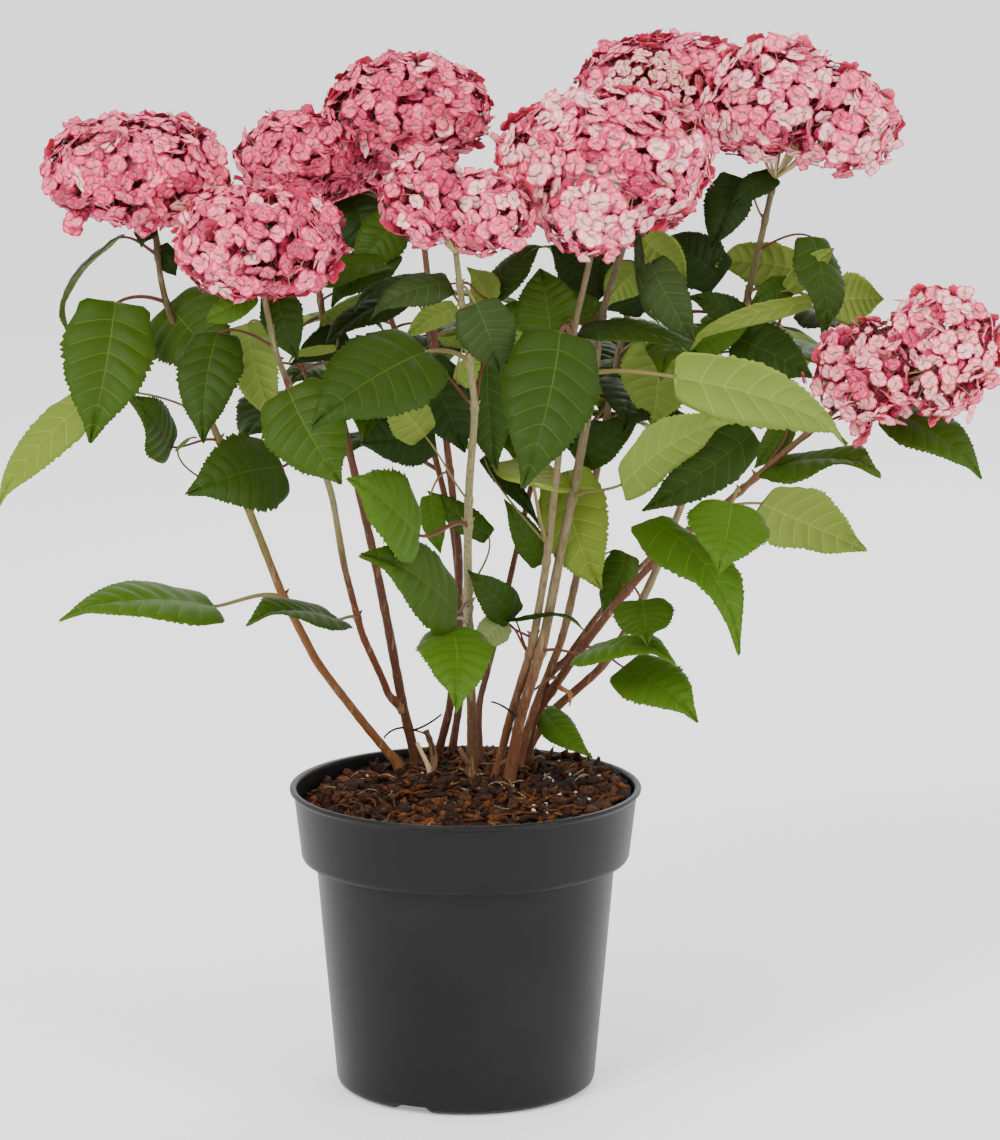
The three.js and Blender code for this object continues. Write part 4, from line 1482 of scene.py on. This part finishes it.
@dataclass
class Bloom:
    """One mophead on its stem."""

    name: str
    look: BloomLook
    stem: Stem
    seed: int
    shapes: tuple[FloretShape, FloretShape]
    rays: int = 12
    stalk_radius: float = 0.34 * MM
    tries: int = 7000  # places tried over the head before the ones too close are dropped
    fade_reach: float = 31 * MM
    stray_florets: int = 4  # in each hanging cluster

    def spread(self, solid: CadSolid, rng: np.random.Generator) -> tuple[Array, Array, Array]:
        """Floret places over the CAD surface, no two closer than the spacing.

        Args:
            solid: The bloom's CAD solid.
            rng: Source of chance.

        Returns:
            (n, 3) places on the surface, their outward directions, and whether each is faded.
        """
        points, normals = solid.scatter(self.tries, rng)
        middle = (solid.low + solid.high) / 2
        half = (solid.high - solid.low) / 2
        smooth = unit(unit(normals) + 0.8 * unit((points - middle) / half**2))
        faded = np.zeros(len(points), bool)
        if self.look.faded:
            spot = solid.low + np.array(self.look.faded) * (solid.high - solid.low)
            faded = np.linalg.norm((points - spot) * (1, 0.6, 1), axis=1) < self.fade_reach
        limit = (self.look.spacing * MM * np.where(faded, 0.62, 1.0)) ** 2
        floor = self.look.underside - 0.25 * rng.random(len(points))
        keep: list[int] = []
        for number in np.flatnonzero(smooth[:, 2] > floor):
            if not keep or ((points[keep] - points[number]) ** 2).sum(1).min() > limit[number]:
                keep.append(int(number))
        return points[keep], smooth[keep], faded[keep]

    def outer(self, rng: np.random.Generator) -> Florets:
        """The florets that cover the head.

        Args:
            rng: Source of chance.

        Returns:
            Their places, directions, radii and tints.
        """
        solid = CadSolid(self.name)
        points, out, faded = self.spread(solid, rng)
        count = len(points)
        low = np.clip(-out[:, 2] + 0.1, 0, 1)
        centres = points - out * rng.uniform(0.5, 6.5, (count, 1)) * MM
        centres[:, 2] -= self.look.hang * MM * low * rng.random(count)
        if self.look.stray:
            spots = solid.low + np.array(self.look.stray) * (solid.high - solid.low)
            spots = np.repeat(spots, self.stray_florets, 0)
            loose = spots + rng.normal(size=spots.shape) * 4 * MM
            centres = np.concatenate([centres, loose])
            points = np.concatenate([points, loose])
            out = np.concatenate([out, unit(rng.normal(size=loose.shape) - UP + (0, -1, 0))])
            faded = np.concatenate([faded, np.zeros(len(loose), bool)])
            count = len(centres)
        names = list(self.look.tints)
        ladder = np.cumsum([self.look.tints[name] for name in names])
        patch = waves(points, 42 * MM, self.seed) * 0.22
        draw = np.clip(rng.random(count) * 0.9 + 0.05 + patch, 0, 0.999) * ladder[-1]
        tints = np.array([PETAL_NUMBER[name] for name in names])[np.searchsorted(ladder, draw)]
        radii = rng.uniform(*self.look.size, count) * MM
        pale = rng.choice([PETAL_NUMBER["buff"], PETAL_NUMBER["cream"]], count)
        facing = unit(out + self.look.loose * 0.55 * rng.normal(size=out.shape))
        return Florets(centres, facing, np.where(faded, 0.58, 1) * radii, np.where(faded, pale, tints))

    def inner(self, outer: Florets, rng: np.random.Generator) -> Florets:
        """A deeper layer that closes the gaps between the outer florets; its darker tints are painted shade
        deep in the head.

        Args:
            outer: The outer florets.
            rng: Source of chance.

        Returns:
            The inner florets.
        """
        count = int(0.9 * len(outer.centres))
        pick = rng.permutation(len(outer.centres))[:count]
        middle = outer.centres.mean(0)
        inward = unit(middle - outer.centres[pick])
        centres = outer.centres[pick] + inward * rng.uniform(5, 11, (count, 1)) * MM
        centres = centres + rng.normal(size=(count, 3)) * 3 * MM
        # only pink, rose and crimson here: painted shade for the florets that sit deep in the head
        shares = {"pink": 0.52, "rose": 0.42, "crimson": 0.06}
        tints = rng.choice([PETAL_NUMBER[name] for name in shares], count, p=list(shares.values()))
        facing = unit(outer.facing[pick] + 0.5 * rng.normal(size=(count, 3)))
        return Florets(centres, facing, rng.uniform(*self.look.size, count) * MM, tints)

    def dress(self, store: MeshStore, florets: Florets, shape: FloretShape, rng: np.random.Generator) -> None:
        """Puts a template on every floret's place, turned, cupped and stretched by chance.

        Args:
            store: Where the florets go.
            florets: Their places.
            shape: The templates.
            rng: Source of chance.
        """
        count = len(florets.centres)
        spin = rng.uniform(0, math.tau, count)[:, None]
        facing = florets.facing
        flat = unit(np.cross(facing, unit(rng.normal(size=(count, 3)))))
        side = flat * np.cos(spin) + np.cross(facing, flat) * np.sin(spin)
        template = shape.verts[rng.integers(0, shape.variants, count)]
        template[..., 2] *= rng.uniform(0.3, 1.5, (count, 1))
        template[..., 0] *= rng.uniform(0.88, 1.12, (count, 1))
        verts = lay(template * florets.radii[:, None, None], side, facing, florets.centres)
        zone = shape.zones[None]
        slots = np.where(zone < 0, BUTTON, zone + 4 * florets.tints[:, None]).ravel()
        store.add(verts.reshape(-1, 3), copies(shape.quads, template.shape[1], count), slots)

    def build(self) -> None:
        """Makes the bloom, which stands for its CAD node: florets, their stalks and rays."""
        rng = np.random.default_rng(self.seed)
        outer = self.outer(rng)
        inner = self.inner(outer, rng)
        store = MeshStore()
        self.dress(store, outer, self.shapes[0], rng)
        self.dress(store, inner, self.shapes[1], rng)
        self.add_rays(store, outer.centres, outer.facing, rng)
        LOG.info("%s: %d florets", self.name, len(outer.centres) + len(inner.centres))
        finishes = [finish for tint in PETAL_TINTS for finish in tint.finishes()]
        finishes.append(PlainFinish("floret_button", (0.62, 0.38, 0.20), 0.6))
        finishes.append(PlainFinish("floret_stalk", (0.42, 0.33, 0.16), 0.6))
        store.publish(f"{self.name}_florets", "bloom", make_all(finishes), [self.name])

    def add_rays(self, store: MeshStore, centres: Array, facing: Array, rng: np.random.Generator) -> None:
        """Adds the green rays under the florets.

        Rays leave the hub on the stem's tip a golden angle apart and end half way out. Each
        floret's stalk is a curve from the nearest ray's end to the floret's back.

        Args:
            store: Where the tubes go.
            centres: Floret centres.
            facing: Floret directions.
            rng: Source of chance.
        """
        low, high = (np.array(corner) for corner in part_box(self.name))
        middle, half = (low + high) / 2, (high - low) / 2
        hub = self.stem.line[-1].copy()
        hub[2] = min(hub[2], middle[2] - 0.1 * half[2])
        number = np.arange(self.rays)
        out = around(number * GOLDEN_ANGLE) * half
        share = np.sqrt((number + 0.6) / self.rays)[:, None]
        ends = middle + out * share * 0.62 + UP * half[2] * (0.25 - 0.45 * share**2)
        starts = np.repeat(hub[None], self.rays, 0)
        bend = starts + (ends - starts) * (0.45, 0.45, 0.25)
        rays = bezier([starts, bend, ends - 0.3 * (ends - bend), ends], 7)
        widths = np.repeat(np.linspace(1.15, 0.7, 7)[None], self.rays, 0) * MM
        verts, quads = rings(rays, widths, 6)
        store.add(verts, quads, GREEN_STALK)
        near = ((centres[:, None] - ends[None]) ** 2).sum(-1).argmin(1)
        begin = ends[near]
        span = np.linalg.norm(centres - begin, axis=1, keepdims=True)
        bend = begin + 0.4 * (centres - begin) + 0.05 * span * rng.normal(size=centres.shape)
        stalks = bezier([begin, bend, centres - facing * span * 0.3, centres], 4)
        verts, quads = rings(stalks, np.full(stalks.shape[:2], self.stalk_radius), 4)
        store.add(verts, quads, GREEN_STALK)


WARM = BloomLook({"cream": 0.10, "blush": 0.34, "pink": 0.28, "rose": 0.20, "crimson": 0.08})
SPRAWLING = BloomLook(
    {"cream": 0.08, "blush": 0.32, "pink": 0.30, "rose": 0.21, "crimson": 0.09},
    stray=((0.2, 0.25, 0.05), (0.55, 0.25, 0.0)),
)
DEEP = BloomLook({"cream": 0.02, "blush": 0.22, "pink": 0.40, "rose": 0.27, "crimson": 0.09})
FADED = BloomLook({"cream": 0.14, "blush": 0.30, "pink": 0.30, "rose": 0.26}, faded=(0.36, 0.0, 0.55))
PALE = BloomLook(
    {"cream": 0.26, "blush": 0.28, "pink": 0.22, "rose": 0.16, "crimson": 0.08}, size=(5.8, 8.0)
)
LIGHT = BloomLook({"cream": 0.50, "blush": 0.32, "pink": 0.12, "rose": 0.06}, size=(7.2, 10.0))
OPEN = BloomLook({"cream": 0.44, "blush": 0.36, "pink": 0.14, "rose": 0.06}, underside=-0.6)
CORAL = BloomLook(
    {"cream": 0.36, "coral": 0.48, "blush": 0.10, "rose": 0.06},
    size=(5.4, 8.0),
    loose=0.8,
    stray=((0.30, 0.35, -0.02),),
)

BLOOMS: dict[str, tuple[BloomLook, str]] = {
    "bloom_far_left": (SPRAWLING, "stem_far_left"),
    "bloom_left_front": (WARM, "bough_left"),
    "bloom_left_back": (DEEP, "stem_left_inner"),
    "bloom_top_left": (DEEP, "stem_red"),
    "bloom_centre_front": (PALE, "stem_centre"),
    "bloom_centre_right": (LIGHT, "stem_tall"),
    "bloom_top_back": (FADED, "stem_tall_back"),
    "bloom_top_right": (OPEN, "stem_high_right"),
    "bloom_far_right": (CORAL, "stem_dark_right"),
    "bloom_back_right": (DEEP, "stem_slim"),
    "bloom_back_left": (WARM, "stem_back_left"),
}


# ---------------------------------------------------------------- pot and compost


@dataclass
class NurseryPot:
    """The moulded pot: flat foot with drain notches, tapering wall, collar and rolled lip."""

    sectors: int = 180
    notches: int = 3
    notch_bearing: float = math.radians(245)
    notch_half_angle: float = 0.155
    notch_height: float = 5 * MM
    notch_fade: tuple[float, float] = (67 * MM, 70 * MM)  # where a notch begins under the foot
    outer_rings: int = 24  # the profile's rings that a notch may lift
    flare: float = 0.089  # how much the wall's radius grows with height
    wall_start: float = 8 * MM

    def profile(self) -> Array:
        """Outline from the middle of the underside up the outside and down the inside.

        Each bend is a corner of the pot, and the steps from it in mm that its arc runs through.

        Returns:
            (n, 2) radii and heights in metres.
        """
        solid = CadSolid("pot")
        height = solid.high[2]
        radius = np.linalg.norm(solid.points[:, :2], axis=1)
        lip = radius.max()
        level = solid.points[:, 2]
        foot = radius[level < 1e-5].max()
        wall_foot = radius[(level > 5 * MM) & (level < 12 * MM) & (radius > 0.9 * foot)].max()
        collar_level = level[(radius > 0.9 * lip) & (radius < 0.955 * lip)].min()
        collar_radius = radius[np.abs(level - collar_level) < 6 * MM].max()
        wall_top = wall_foot + self.flare * (collar_level - self.wall_start)
        lip_bends = [(-3.2, -8), (-2.6, -4.2), (-0.9, -3.4), (-0.1, -2.4), (-0.1, -1), (-0.8, -0.2)]
        bends = [
            (0, 0, [(1, 0)]),
            (foot, 0, [(-14, 0), (-4, 0), (0, 0), (3, 0.5)]),
            (wall_foot, 0, [(-1.2, 3), (-0.3, 5.5), (0, 8)]),
            (wall_foot + self.flare * 0.04, self.wall_start, [(0, 40)]),
            (wall_foot + self.flare * 0.09, self.wall_start, [(0, 90)]),
            (wall_top, collar_level, [(-0.5, -4), (-0.1, -0.8), (0.9, 0)]),
            (collar_radius, collar_level, [(-3.2, 0.2), (-1.1, 1), (-0.1, 3.2), (0.3, 7)]),
            (lip, height, [*lip_bends, (-2.2, 0), (-3.8, -0.5), (-4.6, -1.6), (-5, -6)]),
            (collar_radius, collar_level, [(-2.4, 5)]),
            (wall_top, collar_level, [(-1.6, 2)]),
            (wall_foot, 0, [(-2.4, 14), (-5, 9)]),
            (0, 0, [(1, 8)]),
        ]
        return np.array([(x + dx * MM, z + dz * MM) for x, z, steps in bends for dx, dz in steps])

    def build(self) -> None:
        """Makes the pot, which stands for the CAD pot.

        Points of the foot that lie within a notch's bearing are lifted to the notch's height.
        """
        profile = self.profile()
        steps = np.linspace(0, len(profile) - 1, 3 * len(profile) - 2)
        knot = np.arange(len(profile))
        fine = np.stack([np.interp(steps, knot, profile[:, k]) for k in range(2)], -1)
        verts, quads = lathe(fine, self.sectors)
        radius = np.linalg.norm(verts[:, :2], axis=1)
        bearing = np.arctan2(verts[:, 1], verts[:, 0])
        spacing = math.tau / self.notches
        off = (bearing - self.notch_bearing + spacing / 2) % spacing - spacing / 2
        inside = 1 - smoothstep(0.8 * self.notch_half_angle, 1.1 * self.notch_half_angle, np.abs(off))
        outer = np.arange(len(verts)) < self.outer_rings * self.sectors
        lift = smoothstep(*self.notch_fade, radius) * inside * outer
        verts[:, 2] = np.maximum(verts[:, 2], self.notch_height * lift)
        store = MeshStore()
        store.add(verts, quads)
        store.publish("pot_shell", "pot", [PotPlastic().make()], ["pot"])


class Litter(Enum):
    """What lies on the compost: slot, count, and length, breadth and thickness in mm."""

    CHIP_DARK = (0, 360, (12.5, 6.2, 2.6))
    CHIP_BROWN = (1, 460, (12.0, 5.2, 2.2))
    CHIP_ORANGE = (2, 130, (10.5, 4.8, 2.2))
    CHIP_PALE = (3, 70, (12.0, 2.6, 1.3))
    PERLITE = (4, 40, (2.7, 2.4, 2.1))


@dataclass
class Compost:
    """The compost's uneven top with bark chips, perlite, fibres and bits of twig."""

    seed: int = 5
    edge: float = 0.1083
    sectors: int = 144
    circles: int = 46
    underside: float = 0.168
    fibre_points: int = 7
    rootlets: tuple[int, float, float, int] = (46, 13 * MM, 0.28 * MM, 6)  # count, size and slot
    twigs: tuple[int, float, float, int] = (22, 22 * MM, 0.7 * MM, 3)

    def __post_init__(self) -> None:
        """Reads the top of the CAD soil."""
        solid = CadSolid("soil")
        top = solid.points[:, 2] > solid.high[2] - 24 * MM
        self.samples = np.unique(np.round(solid.points[top], 5), axis=0)

    def height(self, xy: Array) -> Array:
        """Height of the top: the samples' heights weighted by 1 / distance^4, and two waves.

        Args:
            xy: (n, 2) places.

        Returns:
            (n) heights.
        """
        gap = ((xy[:, None] - self.samples[None, :, :2]) ** 2).sum(-1)
        weight = 1 / (gap + 16e-6) ** 2
        smooth = (weight * self.samples[:, 2]).sum(1) / weight.sum(1)
        place = np.concatenate([xy, 0 * xy[:, :1]], 1)
        return smooth + 1.1 * MM * waves(place, 17 * MM, 3) + 0.7 * MM * waves(place, 6 * MM, 4)

    def ground(self) -> tuple[Array, Array]:
        """The compost's closed surface: rings of the uneven top, then a wall and an underside."""
        radius = np.linspace(0.001, 1, self.circles) ** 0.8 * self.edge
        top = np.stack([radius, 0 * radius], -1)[::-1]
        base = [(share, self.underside) for share in (0.001, 0.5 * self.edge, self.edge - 4 * MM)]
        verts, quads = lathe(np.concatenate([np.array(base), top]), self.sectors)
        above = np.arange(len(verts)) >= len(base) * self.sectors
        verts[above, 2] = self.height(verts[above, :2])
        return verts, quads

    def chips(self, kind: Litter, rng: np.random.Generator) -> tuple[Array, Array]:
        """Bits of one kind: a rough six-sided slab, stretched, dented and turned.

        Args:
            kind: What lies there.
            rng: Source of chance.

        Returns:
            Vertices and quads of all of them.
        """
        _, count, size = kind.value
        xy = on_disc(self.edge - 3 * MM, count, rng)
        path = np.array([[[0, 0, -0.5], [0, 0, -0.3], [0, 0, 0.3], [0, 0, 0.5]]], float)
        slab, quads = rings(path, np.array([[0.34, 0.5, 0.48, 0.3]]), 6)
        body = np.repeat(slab[None], count, 0) * (1 + 0.22 * rng.normal(size=(count, len(slab), 1)))
        body = body * np.array(size) * MM * rng.uniform(0.55, 1.45, (count, 1, 1))
        body = body * rng.uniform(0.65, 1.35, (count, 1, 3))
        tilt = unit(UP + 0.45 * rng.normal(size=(count, 3)))
        side = unit(np.cross(tilt, rng.normal(size=(count, 3))))
        level = self.height(xy) + rng.uniform(-0.3, 1.3, count) * MM
        verts = lay(body, side, tilt, np.concatenate([xy, level[:, None]], 1))
        away = np.linalg.norm(verts[..., :2], axis=-1, keepdims=True)
        verts[..., :2] *= np.minimum(1, (self.edge - 0.4 * MM) / np.maximum(away, MM))
        return verts.reshape(-1, 3), copies(quads, len(slab), count)

    def fibres(
        self, count: int, length: float, radius: float, rng: np.random.Generator
    ) -> tuple[Array, Array]:
        """Thin curved rootlets and twigs that lie on the top.

        Args:
            count: How many.
            length: Mean length in metres.
            radius: Radius in metres.
            rng: Source of chance.

        Returns:
            Vertices and quads.
        """
        middle = on_disc(self.edge - length * 0.6, count, rng)
        heading = around(rng.uniform(0, math.tau, count))[:, :2]
        way = heading * length * rng.uniform(0.3, 0.7, (count, 1))
        sag = np.stack([-way[:, 1], way[:, 0]], -1) * rng.normal(size=(count, 1)) * 0.5
        controls = [middle - way, middle - way / 3 + sag, middle + way / 3 + sag, middle + way]
        points = self.fibre_points
        path = bezier([np.concatenate([c, 0 * c[:, :1]], 1) for c in controls], points)
        lift = np.sin(np.linspace(0, math.pi, points)) * rng.uniform(0, 3.5, (count, 1)) * MM
        ground = self.height(path[..., :2].reshape(-1, 2)).reshape(count, points)
        path[..., 2] = ground + 1.4 * MM + lift
        return rings(path, np.full((count, points), radius) * rng.uniform(0.6, 1.3, (count, 1)), 4)

    def build(self) -> None:
        """Makes the compost, which stands for the CAD soil."""
        rng = np.random.default_rng(self.seed)
        store = MeshStore()
        verts, quads = self.ground()
        store.add(verts, quads, 0)
        for kind in Litter:
            verts, quads = self.chips(kind, rng)
            store.add(verts, quads, kind.value[0] + 1)
        for count, length, radius, slot in (self.rootlets, self.twigs):
            verts, quads = self.fibres(count, length, radius, rng)
            store.add(verts, quads, slot)
        finishes = [
            CompostFinish("compost_dark", (0.004, 0.0016, 0.0008), (0.014, 0.005, 0.002)),
            CompostFinish("chip_dark", (0.011, 0.0042, 0.002), (0.036, 0.013, 0.006), 500.0),
            CompostFinish("chip_brown", (0.028, 0.010, 0.004), (0.092, 0.033, 0.012), 500.0),
            CompostFinish("chip_orange", (0.060, 0.016, 0.0035), (0.17, 0.046, 0.009), 500.0),
            CompostFinish("chip_pale", (0.10, 0.048, 0.016), (0.22, 0.12, 0.05), 500.0),
            CompostFinish("perlite", (0.50, 0.47, 0.42), (0.72, 0.69, 0.64), 500.0),
            CompostFinish("rootlet", (0.22, 0.15, 0.08), (0.38, 0.28, 0.17), 800.0),
        ]
        store.publish("compost_top", "soil", make_all(finishes), ["soil"])


# ---------------------------------------------------------------- studio


@dataclass
class Studio:
    """Pale floor, soft lights and the camera."""

    camera_at: tuple[float, float, float] = (0.02255, -3.2, 0.9640)
    pitch: float = math.radians(10.9836)
    lens: float = 158.77

    def floor(self) -> None:
        """A wide pale floor under the pot that curves up far away on every side.

        Its radius grows evenly, and past 6 m its height is 0.9 times the square of the rest.
        """
        sectors = 96
        radius = np.concatenate([[0.001, 0.5, 1.5, 3.0], np.linspace(6.0, 9.0, 16)])
        height = 0.9 * np.clip(radius - 6.0, 0, None) ** 2 - 0.0004
        verts, _ = lathe(np.stack([radius, height], -1), sectors)
        store = MeshStore()
        store.add(verts, grid_quads(len(radius), sectors, wrap=True))
        shader = Shader("studio_floor", 0.9)
        shader.set("Base Color", (0.90, 0.90, 0.90))
        shader.set("Emission Color", (1.0, 1.0, 1.0))
        shader.set("Emission Strength", 0.3)
        store.build("floor", [shader.material])

    def lamp(self, name: str, at: Sequence[float], size: float, power: float) -> None:
        """One square area light that looks at the middle of the plant.

        Args:
            name: The light's name.
            at: Its place.
            size: Its side in metres.
            power: Its power in watts.
        """
        data = bpy.data.lights.new(name, "AREA")
        data.size, data.energy = size, power
        lamp = bpy.data.objects.new(name, data)
        aim = Vector((0.03, 0.0, 0.42)) - Vector(at)
        lamp.matrix_world = Matrix.Translation(at) @ aim.to_track_quat("-Z", "Y").to_matrix().to_4x4()
        bpy.context.scene.collection.objects.link(lamp)

    def build(self) -> None:
        """Makes floor, lights, sky and camera."""
        self.floor()
        self.lamp("key", (-1.3, -2.1, 2.3), 1.4, 90.0)
        self.lamp("fill", (2.2, -1.6, 1.3), 1.6, 42.0)
        self.lamp("rim", (0.6, 2.0, 2.0), 1.5, 30.0)
        world = bpy.data.worlds.new("studio")
        world.use_nodes = True
        world.node_tree.nodes["Background"].inputs[0].default_value = (1.0, 1.0, 1.0, 1.0)
        world.node_tree.nodes["Background"].inputs[1].default_value = 1.2
        bpy.context.scene.world = world
        data = bpy.data.cameras.new("camera")
        data.lens = self.lens
        camera = bpy.data.objects.new("camera", data)
        camera.location = self.camera_at
        camera.rotation_euler = (math.pi / 2 - self.pitch, 0.0, 0.0)
        bpy.context.scene.collection.objects.link(camera)
        bpy.context.scene.camera = camera


# ---------------------------------------------------------------- the whole plant


STEM_BARKS = {
    "stem_far_left": Bark.RUSSET,
    "stem_left_inner": Bark.DARK,
    "bough_left": Bark.FORKED,
    "stem_red": Bark.DARK,
    "stem_back_left": Bark.DARK,
    "stem_centre": Bark.GREEN,
    "stem_slim": Bark.DARK,
    "stem_tall": Bark.TAN,
    "stem_mid": Bark.TAN,
    "stem_tall_back": Bark.TAN,
    "stem_dark_right": Bark.DARK,
    "shoot_right": Bark.DARK,
    "stem_high_right": Bark.TAN,
    "stub_cut": Bark.STRAW,
}


def main() -> None:
    """Builds the pot, the compost, the leaves, the stems, the blooms and the studio."""
    logging.basicConfig(level=logging.INFO, format="%(name)s: %(message)s")
    NurseryPot().build()
    Compost().build()
    stems = {name: Stem(name) for name in STEM_BARKS}
    for stem in stems.values():
        stem.root_into(stems.values(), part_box("soil")[1][2])
    leafy = {name: stem for name, stem in stems.items() if name != "stub_cut"}
    Foliage(leafy).build()
    clump = StemClump(STEM_BARKS)
    for stem in stems.values():
        clump.build(stem)
    DeadWood(stems).build()
    shapes = (
        FloretShape(rows=5, columns=5, variants=12, seed=3),
        FloretShape(rows=3, columns=3, variants=6, seed=4, button=False),
    )
    for number, (name, (look, stem_name)) in enumerate(BLOOMS.items()):
        Bloom(name, look, stems[stem_name], BLOOM_SEED + number, shapes).build()
    Studio().build()


if __name__ == "__main__":
    main()
